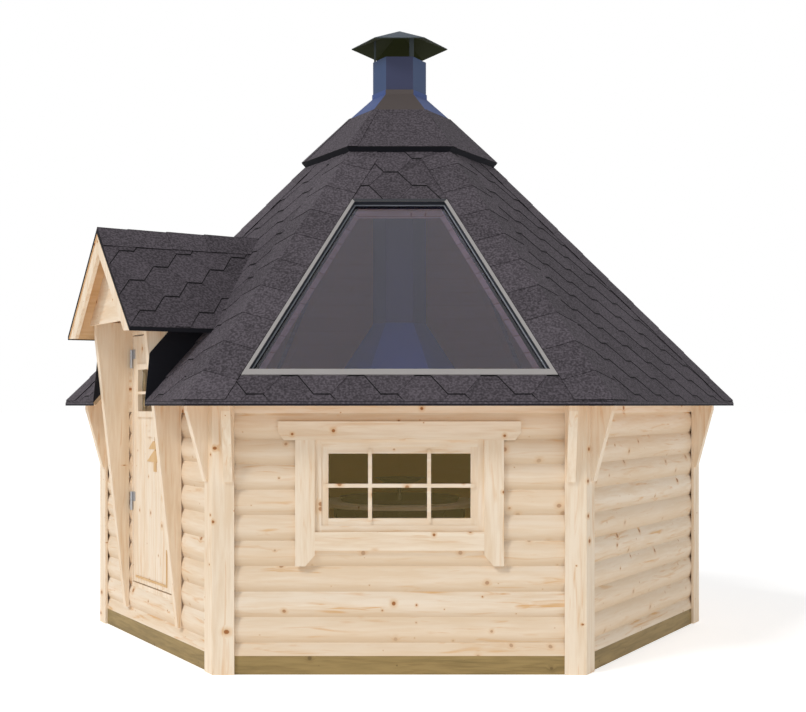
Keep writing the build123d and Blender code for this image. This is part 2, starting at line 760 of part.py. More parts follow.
def under_hat():
    """Everything below the hat's underside."""
    rim_z = HAT_RIM_Z - HAT_THICKNESS
    cone = hull_of(hexagon(HAT_R, rim_z), hexagon(HAT_TIP_R, rim_z + HAT_RISE))
    return joined([hex_prism(HAT_R * COS30, 0, rim_z), cone])


def hat_straps():
    """Three angle straps in the pipe's corners that hold the hat."""
    inside = PIPE_R - PIPE_WALL / COS30
    tube = hex_shell([(inside, PIPE_TOP_Z - STRAP_LAP), (inside, HAT_RIM_Z + HAT_RISE)], STRAP_THICKNESS)
    half = STRAP_WIDTH / 2
    corner = swept(
        [(inside / 2, -half, 0), (HAT_R, -half, 0), (HAT_R, half, 0), (inside / 2, half, 0)],
        (0, 0, HAT_RIM_Z + HAT_RISE),
    )
    strap = tube & corner & under_hat()
    return [turned(strap, side) for side in (1, 3, 5)]


def smoke_hood():
    """Hexagonal hood that widens over the fire."""
    rim_z = HOOD_NECK_Z - (HOOD_RIM_R - PIPE_R) * HOOD_SLOPE
    return hex_shell(
        [(HOOD_RIM_R, rim_z - HOOD_SKIRT), (HOOD_RIM_R, rim_z), (PIPE_R, HOOD_NECK_Z)], HOOD_WALL
    )


# Dormer


def dormer_z(side):
    """Height of the dormer's top surface at a distance from its ridge."""
    return DORMER_RIDGE_Z - abs(side)


def dormer_meets_roof_t(side):
    """Where the dormer's top surface runs into the main roof."""
    return ROOF_EAVE_T - (dormer_z(side) - ROOF_EAVE_Z) / ROOF_SLOPE


def above_main_roof():
    """Everything over the main roof's top surface on the door side."""
    far = 2 * ROOF_CORNER_R
    low = [(0.0, roof_z(0.0)), (far, roof_z(far)), (far, roof_z(0.0))]
    return along_wall(low, -ROOF_CORNER_R, ROOF_CORNER_R)


def dormer_roof_half(sign):
    """One slope of the dormer, mitred at the ridge and scribed to the main roof."""
    drop = plumb(DORMER_ROOF_THICKNESS, 1.0)
    section = [
        (0, DORMER_RIDGE_Z),
        (sign * DORMER_HALF_W, dormer_z(DORMER_HALF_W)),
        (sign * (DORMER_HALF_W - drop / 2), dormer_z(DORMER_HALF_W) - drop / 2),
        (0, DORMER_RIDGE_Z - drop),
    ]
    slab = board(section, 0, DORMER_FRONT_T)
    return turned(slab & above_main_roof(), DOOR_SIDE)


def dormer_underside(side):
    """Height of the dormer's underside at a distance from its ridge."""
    return dormer_z(side) - plumb(DORMER_ROOF_THICKNESS, 1.0)


def dormer_triangle(low_z, back, front):
    """Triangle under the dormer's roof down to a level edge."""
    half = dormer_underside(0) - low_z
    return board([(-half, low_z), (half, low_z), (0, dormer_underside(0))], back, front)


def dormer_gable():
    """Boards that close the dormer's front above the doorway."""
    return turned(dormer_triangle(GABLE_LOW_Z, GABLE_T - GABLE_THICKNESS, GABLE_T), DOOR_SIDE)


def dormer_barge_boards():
    """Boards under the front edge of the dormer's roof, cut level at the eaves."""
    top = dormer_underside(0)
    fall = plumb(BARGE_W, 1.0)
    drop = plumb(DORMER_ROOF_THICKNESS, 1.0)
    low = dormer_z(DORMER_HALF_W) - drop / 2
    front = DORMER_FRONT_T - BARGE_SETBACK
    back = front - BARGE_THICKNESS
    boards = []
    for sign in (-1, 1):
        outline = [
            (0, top),
            (sign * (top - low), low),
            (sign * (top - fall - low), low),
            (0, top - fall),
        ]
        boards.append(board(outline, back, front))
    return turned(joined(boards), DOOR_SIDE)


def head_wall():
    """Boards over the door frame, up to the dormer's roof."""
    low = LEAF_TOP_Z + LEAF_GAP + JAMB_W
    top = dormer_underside(CHEEK_IN)
    outline = [(-CHEEK_IN, low), (CHEEK_IN, low), (CHEEK_IN, top), (0, dormer_underside(0)), (-CHEEK_IN, top)]
    return turned(board(outline, WALL_IN_T, LOG_CREST_T - LOG_ROUNDING), DOOR_SIDE)


def cheek_section():
    """Side view of a cheek board as (out, z) points."""
    top = dormer_underside(CHEEK_OUT)
    valley_t = ROOF_EAVE_T - (top - ROOF_EAVE_Z) / ROOF_SLOPE
    return [
        (CHEEK_FOOT_T, CHEEK_FOOT_Z),
        (CHEEK_TOP_T, CHEEK_TOP_Z),
        (CHEEK_TOP_T, top),
        (valley_t, top),
        (LOG_CREST_T, roof_under_z(LOG_CREST_T)),
        (LOG_CREST_T, CHEEK_FOOT_Z),
    ]


def door_cheeks():
    """Leaning boards on both sides of the doorway that carry the dormer."""
    roof = dormer_roof_solid()
    cheeks = []
    for sign in (-1, 1):
        ends = sorted((sign * CHEEK_IN, sign * CHEEK_OUT))
        cheeks.append(turned(along_wall(cheek_section(), *ends) & roof, DOOR_SIDE))
    return cheeks


def dormer_roof_solid():
    """Everything below the dormer's underside."""
    half = DORMER_HALF_W
    eave = dormer_underside(half)
    outline = [(-half, 0), (half, 0), (half, eave), (0, dormer_underside(0)), (-half, eave)]
    return board(outline, 0, 2 * DORMER_FRONT_T)


def cheek_upstands():
    """Dark strips on the cheek boards' outer faces, standing on the roof."""
    top = dormer_underside(CHEEK_OUT + UPSTAND_THICKNESS)
    valley_t = ROOF_EAVE_T - (top - ROOF_EAVE_Z) / ROOF_SLOPE
    high_t = ROOF_EAVE_T - (top - UPSTAND_H - ROOF_EAVE_Z) / ROOF_SLOPE
    section = [
        (ROOF_EAVE_T, ROOF_EAVE_Z),
        (UPSTAND_FRONT_T, roof_z(UPSTAND_FRONT_T) + UPSTAND_H),
        (high_t, top),
        (valley_t, top),
    ]
    strips = []
    for sign in (-1, 1):
        ends = sorted((sign * CHEEK_OUT, sign * (CHEEK_OUT + UPSTAND_THICKNESS)))
        strips.append(turned(along_wall(section, *ends), DOOR_SIDE))
    return strips


# Door


def door_frame():
    """Threshold, two jambs and head between the cheek boards."""
    back = DOOR_FACE_T - JAMB_DEPTH
    top = LEAF_TOP_Z + LEAF_GAP
    outer = block(-CHEEK_IN, CHEEK_IN, back, DOOR_FACE_T, DOOR_LOW_Z, top + JAMB_W)
    half = CHEEK_IN - JAMB_W
    opening = block(-half, half, back, DOOR_FACE_T, DOOR_LOW_Z + DOOR_THRESHOLD_H, top)
    return turned(outer - opening, DOOR_SIDE)


def door_leaf():
    """Boarded leaf with grooves between the boards and an opening for its pane."""
    leaf = block(-LEAF_HALF, LEAF_HALF, LEAF_BACK_T, DOOR_FACE_T, LEAF_LOW_Z, LEAF_TOP_Z)
    count = int(LEAF_HALF / LEAF_BOARD_W)
    grooves = []
    for k in range(-count, count + 1):
        x = k * LEAF_BOARD_W
        section = [
            (x - LEAF_GROOVE, -DOOR_FACE_T, 0),
            (x + LEAF_GROOVE, -DOOR_FACE_T, 0),
            (x, -DOOR_FACE_T + LEAF_GROOVE, 0),
        ]
        grooves.append(swept(section, (0, 0, DORMER_RIDGE_Z)))
    opening = block(
        -DOOR_WINDOW_HALF_W, DOOR_WINDOW_HALF_W, 0, WALL_T, DOOR_WINDOW_LOW_Z, DOOR_WINDOW_TOP_Z
    )
    return turned(leaf - grooves - opening, DOOR_SIDE)


def door_glass():
    """Pane in the leaf."""
    middle = (LEAF_BACK_T + DOOR_FACE_T) / 2
    half = GLASS_THICKNESS / 2
    w = DOOR_WINDOW_HALF_W
    return turned(
        block(-w, w, middle - half, middle + half, DOOR_WINDOW_LOW_Z, DOOR_WINDOW_TOP_Z), DOOR_SIDE
    )


def door_window_trim():
    """Casing round the pane with its bars."""
    w, z0, z1 = DOOR_WINDOW_HALF_W, DOOR_WINDOW_LOW_Z, DOOR_WINDOW_TOP_Z
    c = DOOR_CASING_W
    front = DOOR_FACE_T + DOOR_CASING_THICKNESS
    ring = block(-w - c, w + c, DOOR_FACE_T, front, z0 - c, z1 + c) - block(-w, w, 0, front, z0, z1)
    half = DOOR_BAR_W / 2
    back = (LEAF_BACK_T + DOOR_FACE_T + GLASS_THICKNESS) / 2
    across = block(-w, w, back, front, z0 + DOOR_BAR_RISE - half, z0 + DOOR_BAR_RISE + half)
    upright = block(-half, half, back, front, z0, z1)
    return turned(joined([ring, across, upright]), DOOR_SIDE)


def door_tree():
    """Fir tree of stacked tiers with a trunk, on the leaf's face."""
    step = TREE_H / TREE_TIERS
    foot = TREE_TOP_Z - TREE_H
    front = DOOR_FACE_T + TREE_THICKNESS
    tiers = []
    for k in range(TREE_TIERS):
        low = foot + k * step
        top = min(low + TREE_TIER_LAP * step, TREE_TOP_Z)
        half = TREE_HALF_W * (1 - TREE_TAPER * k)
        tiers.append(board([(-half, low), (half, low), (0, top)], DOOR_FACE_T, front))
    w = TREE_TRUNK_HALF_W
    trunk = block(-w, w, DOOR_FACE_T, front, foot - TREE_TRUNK_H, foot)
    return turned(joined(tiers + [trunk]), DOOR_SIDE)


def upright_rod(x, out, radius, z0, z1):
    """Round rod standing at a place in a wall's own axes."""
    return Solid.make_cylinder(radius, z1 - z0, Plane((x, -out, z0)))


def hinge_half(z0, z1, sign, width):
    """Plate and knuckle of one half of a hinge."""
    low, high = sorted((HINGE_S, HINGE_S + sign * width))
    plate = block(low, high, DOOR_FACE_T, DOOR_FACE_T + HINGE_PLATE, z0, z1)
    return joined([plate, upright_rod(HINGE_S, HINGE_T, HINGE_R, z0, z1)])


def leaf_hinges():
    """Upper halves of the hinges, on the leaf."""
    halves = []
    for middle in HINGE_Z:
        half = hinge_half(middle + HINGE_KNUCKLE_GAP / 2, middle + HINGE_H / 2, 1, HINGE_LEAF_W)
        bore = HINGE_PIN_R + HINGE_CLEARANCE
        hole = upright_rod(HINGE_S, HINGE_T, bore, middle - HINGE_H, middle + HINGE_H)
        halves.append(turned(half - hole, DOOR_SIDE))
    return halves


def frame_hinges():
    """Lower halves of the hinges with their pins, on the frame."""
    halves = []
    for middle in HINGE_Z:
        low, high = middle - HINGE_H / 2, middle + HINGE_H / 2
        half = hinge_half(low, middle - HINGE_KNUCKLE_GAP / 2, -1, CHEEK_IN + HINGE_S)
        pin = upright_rod(HINGE_S, HINGE_T, HINGE_PIN_R, low, high)
        halves.append(turned(joined([half, pin]), DOOR_SIDE))
    return halves


def door_handle():
    """Round pull handle on two feet."""
    out = DOOR_FACE_T + HANDLE_PROJECTION
    z0, z1 = HANDLE_Z - HANDLE_LENGTH / 2, HANDLE_Z + HANDLE_LENGTH / 2
    grip = upright_rod(HANDLE_S, out, HANDLE_R, z0 - 2 * HANDLE_R, z1 + 2 * HANDLE_R)
    posts = []
    for z in (z0, z1):
        plane = Plane((HANDLE_S, -DOOR_FACE_T, z), z_dir=(0, -1, 0))
        posts.append(Solid.make_cylinder(HANDLE_POST_R, HANDLE_PROJECTION, plane))
        posts.append(Solid.make_cylinder(HANDLE_FOOT_R, HANDLE_R / 2, plane))
    return turned(joined([grip] + posts), DOOR_SIDE)


# Grill


def turned_profile(points):
    """Solid of revolution about the upright axis from (radius, z) points."""
    face = polygon([(r, 0, z) for r, z in points])
    return Solid.revolve(face, 360, Axis.Z)


def grill_bowl():
    """Round fire bowl on a round stand, both open inside."""
    floor_z = BASE_BEAM_H + FLOOR_THICKNESS
    low = BOWL_RIM_Z - BOWL_DEPTH
    return turned_profile([
        (0, low),
        (STAND_R - STAND_WALL, low),
        (STAND_R - STAND_WALL, floor_z),
        (STAND_R, floor_z),
        (STAND_R, low),
        (BOWL_R, BOWL_RIM_Z),
        (BOWL_R - 2 * BOWL_WALL, BOWL_RIM_Z),
        (STAND_R - BOWL_WALL, low + BOWL_WALL),
        (0, low + BOWL_WALL),
    ])


def grill_table():
    """Round wooden table round the bowl."""
    top_share = (TABLE_TOP_Z - BOWL_RIM_Z + BOWL_DEPTH) / BOWL_DEPTH
    inner = STAND_R + (BOWL_R - STAND_R) * top_share + TABLE_GAP
    return turned_profile([
        (inner, TABLE_TOP_Z - TABLE_THICKNESS),
        (TABLE_OUT_R, TABLE_TOP_Z - TABLE_THICKNESS),
        (TABLE_OUT_R, TABLE_TOP_Z),
        (inner, TABLE_TOP_Z),
    ])


def table_arms():
    """Brackets from the stand that carry the table."""
    top = TABLE_TOP_Z - TABLE_THICKNESS
    low = BOWL_RIM_Z - BOWL_DEPTH
    section = [
        (STAND_R, low - ARM_DROP),
        (STAND_R, low),
        (STAND_R + (BOWL_R - STAND_R) * (top - low) / BOWL_DEPTH, top),
        (TABLE_OUT_R - ARM_DROP, top),
        (TABLE_OUT_R - ARM_DROP, top - ARM_DROP),
    ]
    arm = along_wall(section, -ARM_W / 2, ARM_W / 2)
    arm = arm - grill_bowl()
    return [turned(arm, side) for side in range(ARM_COUNT)]


def griddle_pan():
    """Shallow pan over the fire, on a stem from the bowl."""
    low = PAN_TOP_Z - PAN_DEPTH
    foot = BOWL_RIM_Z - BOWL_DEPTH + BOWL_WALL
    return turned_profile([
        (0, foot),
        (PAN_STEM_R, foot),
        (PAN_STEM_R, low),
        (PAN_BASE_R, low),
        (PAN_R, PAN_TOP_Z),
        (PAN_R - PAN_WALL, PAN_TOP_Z),
        (PAN_BASE_R - PAN_WALL, low + PAN_WALL),
        (0, low + PAN_WALL),
    ])


# Nodes

save("base_frame", [base_frame()])
save("floor_joists", floor_joists())
save("floor_deck", [floor_deck()])
save("front_wall", [front_wall()])
for side, name in enumerate(("right_front_wall", "right_back_wall", "back_wall", "left_back_wall"), 1):
    save(name, [turned(full_wall(), side)])
save("door_wall_left", [door_wall_side(-1)])
save("door_wall_right", [door_wall_side(1)])
save("door_sill_wall", [door_sill_wall()])
save("wall_top_rails", [top_rails()])
save("corner_posts", corner_posts())
save("eave_brackets", eave_brackets())
save("window_casing", window_casing())
save("window_side_boards", window_side_boards())
save("window_frame", [window_frame()])
save("window_sash", [joined([window_sash(), window_bars()])])
save("window_glass", [window_glass()])
save("roof_front", [front_roof_panel()])
for side, name in enumerate(("roof_right_front", "roof_right_back", "roof_back", "roof_left_back"), 1):
    save(name, [turned(roof_panel(), side)])
save("roof_door_side", [door_roof_panel()])
save("skylight_frame", [skylight_frame()])
save("skylight_glass", [skylight_glass()])
save("skylight_trimmers", [skylight_trimmers()])
save("hip_rafters", hip_rafters())
save("roof_collar", [roof_collar()])
save("crown_battens", [crown_battens()])
save("crown_roof", [crown_roof()])
save("crown_flashing", [crown_flashing()])
save("chimney_pipe", [chimney_pipe()])
save("chimney_hat", [joined([chimney_hat()] + hat_straps())])
save("smoke_hood", [smoke_hood()])
save("dormer_roof_left", [dormer_roof_half(-1)])
save("dormer_roof_right", [dormer_roof_half(1)])
save("dormer_gable", [dormer_gable()])
save("dormer_barge_boards", [dormer_barge_boards()])
save("head_wall", [head_wall()])
save("door_cheeks", door_cheeks())
save("cheek_upstands", cheek_upstands())
save("door_frame", [door_frame()])
save("frame_hinges", frame_hinges())
save("door_leaf", [door_leaf()])
save("door_glass", [door_glass()])
save("door_trim", [door_window_trim(), door_tree()])
save("leaf_hinges", leaf_hinges())
save("door_handle", [door_handle()])
save("grill_bowl", [grill_bowl()])
save("grill_table", [grill_table()])
save("table_arms", table_arms())
save("griddle_pan", [griddle_pan()])
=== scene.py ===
import logging
import math
import random
from dataclasses import dataclass
from enum import Enum
from typing import Iterable, Sequence

import bpy
from mathutils import Matrix, Vector


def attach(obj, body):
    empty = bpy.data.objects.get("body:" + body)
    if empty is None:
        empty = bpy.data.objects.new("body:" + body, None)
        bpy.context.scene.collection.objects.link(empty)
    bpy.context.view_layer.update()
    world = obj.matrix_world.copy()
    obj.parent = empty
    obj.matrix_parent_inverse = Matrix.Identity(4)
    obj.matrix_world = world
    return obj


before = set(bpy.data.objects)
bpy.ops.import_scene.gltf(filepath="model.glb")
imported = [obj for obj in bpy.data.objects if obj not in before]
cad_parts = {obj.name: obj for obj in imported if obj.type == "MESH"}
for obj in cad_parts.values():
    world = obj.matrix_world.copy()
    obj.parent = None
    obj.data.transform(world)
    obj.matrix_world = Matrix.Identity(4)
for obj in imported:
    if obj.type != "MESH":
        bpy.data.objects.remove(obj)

LOG = logging.getLogger("barbecue_hut")
Pair = tuple[float, float]
Colour = tuple[float, float, float]
Socket = bpy.types.NodeSocket
Material = bpy.types.Material

SIDES = 6
COS30 = math.cos(math.radians(30))
TAN30 = math.tan(math.radians(30))
DOOR_SIDE = 5
# Tone of the sides that show a dark edge: the raw edge is dark of itself, and which sides get it is painted
# shade.
CUT_AND_SHADE_TONE = -1.0
PLAIN_TONE = 0.5
NEAR = 1e-6
WALL_OUT = 1.7
WIDE = 9.0
WHITE: Colour = (1.0, 1.0, 1.0)
HUT = "hut"
DOOR = "door"


def srgb(red: float, green: float, blue: float) -> Colour:
    """Turns a colour of 0 to 255 into the linear values of a shader.

    Args:
        red: its red part.
        green: its green part.
        blue: its blue part.

    Returns:
        The three linear parts.
    """
    shares = [part / 255 for part in (red, green, blue)]
    return tuple(x / 12.92 if x <= 0.04045 else ((x + 0.055) / 1.055) ** 2.4 for x in shares)


class Graph:
    """Short ways to add and join shader nodes in one tree."""

    def __init__(self, tree: bpy.types.NodeTree) -> None:
        """Keeps the tree that the nodes go into."""
        self.tree = tree

    def add(self, kind: str, **settings: object) -> bpy.types.Node:
        """Adds a node.

        Args:
            kind: the node's Blender type.
            settings: properties to set on it.

        Returns:
            The new node.
        """
        node = self.tree.nodes.new(kind)
        for name, value in settings.items():
            setattr(node, name, value)
        return node

    def feed(self, target: Socket, value: object) -> None:
        """Links a socket, or sets a number or colour on it.

        Args:
            target: the input to feed.
            value: an output socket or a plain value.
        """
        if isinstance(value, bpy.types.NodeSocket):
            self.tree.links.new(value, target)
        elif isinstance(value, tuple) and len(value) == 3 and target.type == "RGBA":
            target.default_value = (*value, 1.0)
        else:
            target.default_value = value

    def put_out(self, **values: Socket) -> None:
        """Adds a group's output node.

        Args:
            values: what each of its sockets gets.
        """
        out = self.add("NodeGroupOutput")
        for name, value in values.items():
            self.feed(out.inputs[name], value)

    def math(self, operation: str, *values: object, clamp: bool = False) -> Socket:
        """Adds a Math node.

        Args:
            operation: the node's operation.
            values: its inputs in order.
            clamp: whether the result is held between 0 and 1.

        Returns:
            The result's socket.
        """
        node = self.add("ShaderNodeMath", operation=operation, use_clamp=clamp)
        for place, value in enumerate(values):
            self.feed(node.inputs[place], value)
        return node.outputs[0]

    def vector(self, operation: str, first: Socket, second: object = (0.0, 0.0, 0.0)) -> Socket:
        """Adds a Vector Math node.

        Args:
            operation: the node's operation.
            first: the first vector.
            second: the second vector, as a socket or three numbers.

        Returns:
            The result's socket.
        """
        node = self.add("ShaderNodeVectorMath", operation=operation)
        self.feed(node.inputs[0], first)
        self.feed(node.inputs[1], second)
        return node.outputs["Value" if operation == "DOT_PRODUCT" else "Vector"]

    def parts(self, vector: Socket) -> Sequence[Socket]:
        """Takes a vector or colour apart.

        Args:
            vector: the vector or colour.

        Returns:
            The sockets of its three parts.
        """
        node = self.add("ShaderNodeSeparateXYZ")
        self.feed(node.inputs[0], vector)
        return node.outputs

    def noise(self, vector: Socket, scale: float, detail: float = 3.0, bend: float = 0.0) -> Socket:
        """Adds a Noise Texture.

        Args:
            vector: where it is read.
            scale: how fine it is.
            detail: how many finer layers it has.
            bend: its distortion.

        Returns:
            The noise value's socket.
        """
        node = self.add("ShaderNodeTexNoise")
        self.feed(node.inputs["Vector"], vector)
        node.inputs["Scale"].default_value = scale
        node.inputs["Detail"].default_value = detail
        node.inputs["Distortion"].default_value = bend
        return node.outputs["Fac"]

    def span(self, value: Socket, low: float, high: float, start: float = 0.0, end: float = 1.0) -> Socket:
        """Maps a range of a value smoothly onto another range.

        Args:
            value: the value to map.
            low: where the range starts.
            high: where the range ends.
            start: what low becomes.
            end: what high becomes.

        Returns:
            The mapped value's socket.
        """
        node = self.add("ShaderNodeMapRange", interpolation_type="SMOOTHSTEP")
        self.feed(node.inputs["Value"], value)
        for name, number in (("From Min", low), ("From Max", high), ("To Min", start), ("To Max", end)):
            node.inputs[name].default_value = number
        return node.outputs[0]

    def blend(self, factor: object, first: object, second: object, mode: str = "MIX") -> Socket:
        """Mixes two colours.

        Args:
            factor: how much of the second.
            first: the first colour.
            second: the second colour.
            mode: the way they are mixed.

        Returns:
            The mixed colour's socket.
        """
        node = self.add("ShaderNodeMix", data_type="RGBA", blend_type=mode)
        self.feed(node.inputs[0], factor)
        self.feed(node.inputs[6], first)
        self.feed(node.inputs[7], second)
        return node.outputs[2]


def new_group(name: str, inputs: dict[str, object], outputs: dict[str, object]) -> Graph:
    """Starts a shader node group with named sockets.

    Args:
        name: the group's name.
        inputs: each input's default: a colour, a number, or None for a vector.
        outputs: each output, given in the same way.

    Returns:
        The graph of the new group.
    """
    tree = bpy.data.node_groups.new(name, "ShaderNodeTree")
    for way, sockets in (("INPUT", inputs), ("OUTPUT", outputs)):
        for label, default in sockets.items():
            kind = "Vector" if default is None else "Color" if isinstance(default, tuple) else "Float"
            socket = tree.interface.new_socket(label, in_out=way, socket_type=f"NodeSocket{kind}")
            if default is not None:
                socket.default_value = (*default, 1.0) if kind == "Color" else default
    return Graph(tree)


def wood_group() -> bpy.types.NodeTree:
    """Builds the group for grain, streaks and knots.

    Returns:
        The node group.
    """
    colours = dict.fromkeys(("Light", "Dark", "Streak", "Knot"), WHITE)
    inputs = {"Vector": None, "Unrolled": None, "Stretch": None, **colours}
    inputs |= {"Streaks": 0.5, "Knots": 1.0, "Seed": 0.0}
    g = new_group("wood_grain", inputs, {"Color": WHITE, "Height": 0.0})
    source = g.add("NodeGroupInput").outputs
    place = g.vector("ADD", source["Vector"], source["Seed"])
    cells = g.add("ShaderNodeTexVoronoi", feature="F1", voronoi_dimensions="2D")
    g.feed(cells.inputs["Vector"], g.vector("ADD", source["Unrolled"], source["Seed"]))
    cells.inputs["Scale"].default_value = 5.6
    away = cells.outputs["Distance"]
    reach = g.span(g.parts(cells.outputs["Color"])[0], 0.25, 1.0, 0.014, 0.084)
    core = g.math("SUBTRACT", 1.0, g.math("DIVIDE", away, reach, clamp=True))
    wide = g.math("MULTIPLY", reach, 2.6)
    halo = g.math("SUBTRACT", 1.0, g.math("DIVIDE", away, wide, clamp=True))
    pushed = g.vector("ADD", place, g.math("MULTIPLY", halo, 0.02))
    grain = g.vector("MULTIPLY", pushed, source["Stretch"])
    broad = g.noise(grain, 0.9, 3.0, 0.6)
    fine = g.noise(grain, 4.5, 5.0, 0.3)
    fibre = g.noise(grain, 17.0, 2.0)
    tone = g.math("ADD", g.math("MULTIPLY", broad, 0.55), g.math("MULTIPLY", fine, 0.45))
    base = g.blend(g.span(tone, 0.36, 0.66), source["Light"], source["Dark"])
    mark = g.math("MULTIPLY", g.span(g.noise(grain, 2.1, 4.0, 1.1), 0.56, 0.74), source["Streaks"])
    base = g.blend(mark, base, source["Streak"])
    ring = g.math("MULTIPLY", g.span(halo, 0.0, 1.0, 0.0, 0.75), source["Knots"])
    base = g.blend(ring, base, source["Streak"])
    knot = g.math("MULTIPLY", g.span(core, 0.1, 0.45), source["Knots"])
    base = g.blend(knot, base, source["Knot"])
    g.put_out(Color=base, Height=g.math("MULTIPLY", g.math("ADD", fibre, fine), 0.5))
    return g.tree


def layer_group() -> bpy.types.NodeTree:
    """Builds the group that gives each log or board in a stack its own tone, a joint mask, and a mask of
    painted shade that darkens each one towards its bottom.

    Returns:
        The node group.
    """
    inputs = {"Height": 0.0, "Low": 0.0, "Pitch": 0.13, "Seed": 0.0}
    g = new_group("layer_tone", inputs, dict.fromkeys(("Tone", "Joint", "Under"), 0.0))
    source = g.add("NodeGroupInput").outputs
    rows = g.math("DIVIDE", g.math("SUBTRACT", source["Height"], source["Low"]), source["Pitch"])
    dice = g.add("ShaderNodeTexWhiteNoise", noise_dimensions="1D")
    g.feed(dice.inputs["W"], g.math("ADD", g.math("FLOOR", rows), source["Seed"]))
    share = g.math("FRACT", rows)
    g.put_out(
        Tone=dice.outputs["Value"],
        Joint=g.span(g.math("ABSOLUTE", g.math("SUBTRACT", share, 0.5)), 0.455, 0.5),
        # painted shade: strongest at the lower edge of each log, gone by its middle
        Under=g.span(share, 0.0, 0.5, 1.0, 0.0),
    )
    return g.tree


def grit_group() -> bpy.types.NodeTree:
    """Builds the group for mineral grit with soft patches, and the dark edge colour, which is part raw edge
    and part painted shade.

    Returns:
        The node group.
    """
    inputs = {"Vector": None, "Base": WHITE, "Pale": WHITE, "CutAndShade": srgb(22, 21, 23), "Tone": PLAIN_TONE}
    g = new_group("mineral_grit", inputs, {"Color": WHITE, "Height": 0.0})
    source = g.add("NodeGroupInput").outputs
    grain = g.noise(source["Vector"], 85.0, 5.0)
    patch = g.noise(source["Vector"], 16.0, 5.0, 0.4)
    share = g.math("ADD", g.math("MULTIPLY", g.span(grain, 0.36, 0.66), 0.5), g.math("MULTIPLY", patch, 0.26))
    tone = g.math("MULTIPLY", g.math("SUBTRACT", source["Tone"], 0.5), 0.16)
    colour = g.blend(g.math("ADD", share, tone, clamp=True), source["Base"], source["Pale"])
    # sides at the dark edge tone take the dark edge colour: part raw edge, part painted shade
    cut_and_shade = g.span(source["Tone"], -0.7, -0.3)
    g.put_out(Color=g.blend(cut_and_shade, source["CutAndShade"], colour), Height=grain)
    return g.tree


def sheet_group() -> bpy.types.NodeTree:
    """Builds the group for faint cloudiness and scuffs on metal.

    Returns:
        The node group.
    """
    inputs = {"Vector": None, "Base": WHITE, "Worn": WHITE, "Roughness": 0.4}
    g = new_group("metal_wear", inputs, {"Color": WHITE, "Roughness": 0.4})
    source = g.add("NodeGroupInput").outputs
    cloud = g.noise(source["Vector"], 7.0, 5.0, 0.5)
    scuff = g.span(g.noise(source["Vector"], 46.0, 6.0, 1.2), 0.6, 0.75)
    share = g.math("ADD", g.math("MULTIPLY", cloud, 0.5), g.math("MULTIPLY", scuff, 0.25), clamp=True)
    g.put_out(
        Color=g.blend(share, source["Base"], source["Worn"]),
        Roughness=g.math("ADD", source["Roughness"], g.math("MULTIPLY", cloud, 0.12)),
    )
    return g.tree


class Groups:
    """The shader node groups, each built once."""

    wood: bpy.types.NodeTree
    layers: bpy.types.NodeTree
    grit: bpy.types.NodeTree
    sheet: bpy.types.NodeTree

    @classmethod
    def build(cls) -> None:
        """Builds every group."""
        cls.wood = wood_group()
        cls.layers = layer_group()
        cls.grit = grit_group()
        cls.sheet = sheet_group()


class Grain(Enum):
    """Which way the fibres run, as the stretch of the noise they come from."""

    LEVEL = (1.3, 1.3, 15.0)
    UPRIGHT = (15.0, 15.0, 1.3)


class Skin:
    """A new material with its Principled shader."""

    def __init__(self, name: str, roughness: float, metallic: float = 0.0, specular: float = 0.5) -> None:
        """Starts the material.

        Args:
            name: the material's name.
            roughness: the shader's own roughness.
            metallic: the shader's own metallic value.
            specular: the shader's own specular level.
        """
        self.material = bpy.data.materials.new(name)
        self.material.use_nodes = True
        self.graph = Graph(self.material.node_tree)
        nodes = self.material.node_tree.nodes
        self.shader = next(n for n in nodes if n.type == "BSDF_PRINCIPLED")
        self.shader.inputs["Roughness"].default_value = roughness
        self.shader.inputs["Metallic"].default_value = metallic
        self.shader.inputs["Specular IOR Level"].default_value = specular

    def place(self) -> Socket:
        """Returns the surface's place on the object."""
        return self.graph.add("ShaderNodeTexCoord").outputs["Object"]

    def normal(self) -> Socket:
        """Returns the way the surface faces."""
        return self.graph.add("ShaderNodeTexCoord").outputs["Normal"]

    def unrolled(self) -> Socket:
        """Rolls the walls out flat, for knots that look round from outside.

        Returns:
            The way round the middle, in metres on a wall, and the height.
        """
        g = self.graph
        x, y, z = g.parts(self.place())
        joined = g.add("ShaderNodeCombineXYZ")
        g.feed(joined.inputs[0], g.math("MULTIPLY", g.math("ARCTAN2", y, x), WALL_OUT))
        g.feed(joined.inputs[1], z)
        return joined.outputs[0]

    def facing_up(self) -> Socket:
        """Returns a mask of the faces that look up."""
        return self.graph.span(self.graph.parts(self.normal())[2], -0.05, 0.05)

    def facing_side(self) -> Socket:
        """Returns a mask of the faces that look left or right."""
        g = self.graph
        return g.span(g.math("ABSOLUTE", g.parts(self.normal())[0]), 0.25, 0.45)

    def facing_in(self) -> Socket:
        """Finds the faces that look towards the middle.

        Returns:
            Their mask.
        """
        g = self.graph
        outward = g.vector("NORMALIZE", g.vector("MULTIPLY", self.place(), (1.0, 1.0, 0.0)))
        return g.math("LESS_THAN", g.vector("DOT_PRODUCT", outward, self.normal()), -0.5)

    def group(self, tree: bpy.types.NodeTree, **values: object) -> bpy.types.Node:
        """Adds a group node.

        Args:
            tree: the group.
            values: what its inputs get.

        Returns:
            The group node.
        """
        node = self.graph.add("ShaderNodeGroup", node_tree=tree)
        for name, value in values.items():
            self.graph.feed(node.inputs[name], value)
        return node

    def bump(self, height: Socket, strength: float, distance: float) -> None:
        """Raises the surface by a height.

        Args:
            height: the height's socket.
            strength: how strong the effect is.
            distance: the height's size in metres.
        """
        node = self.graph.add("ShaderNodeBump")
        node.inputs["Strength"].default_value = strength
        node.inputs["Distance"].default_value = distance
        self.graph.feed(node.inputs["Height"], height)
        self.graph.feed(self.shader.inputs["Normal"], node.outputs[0])


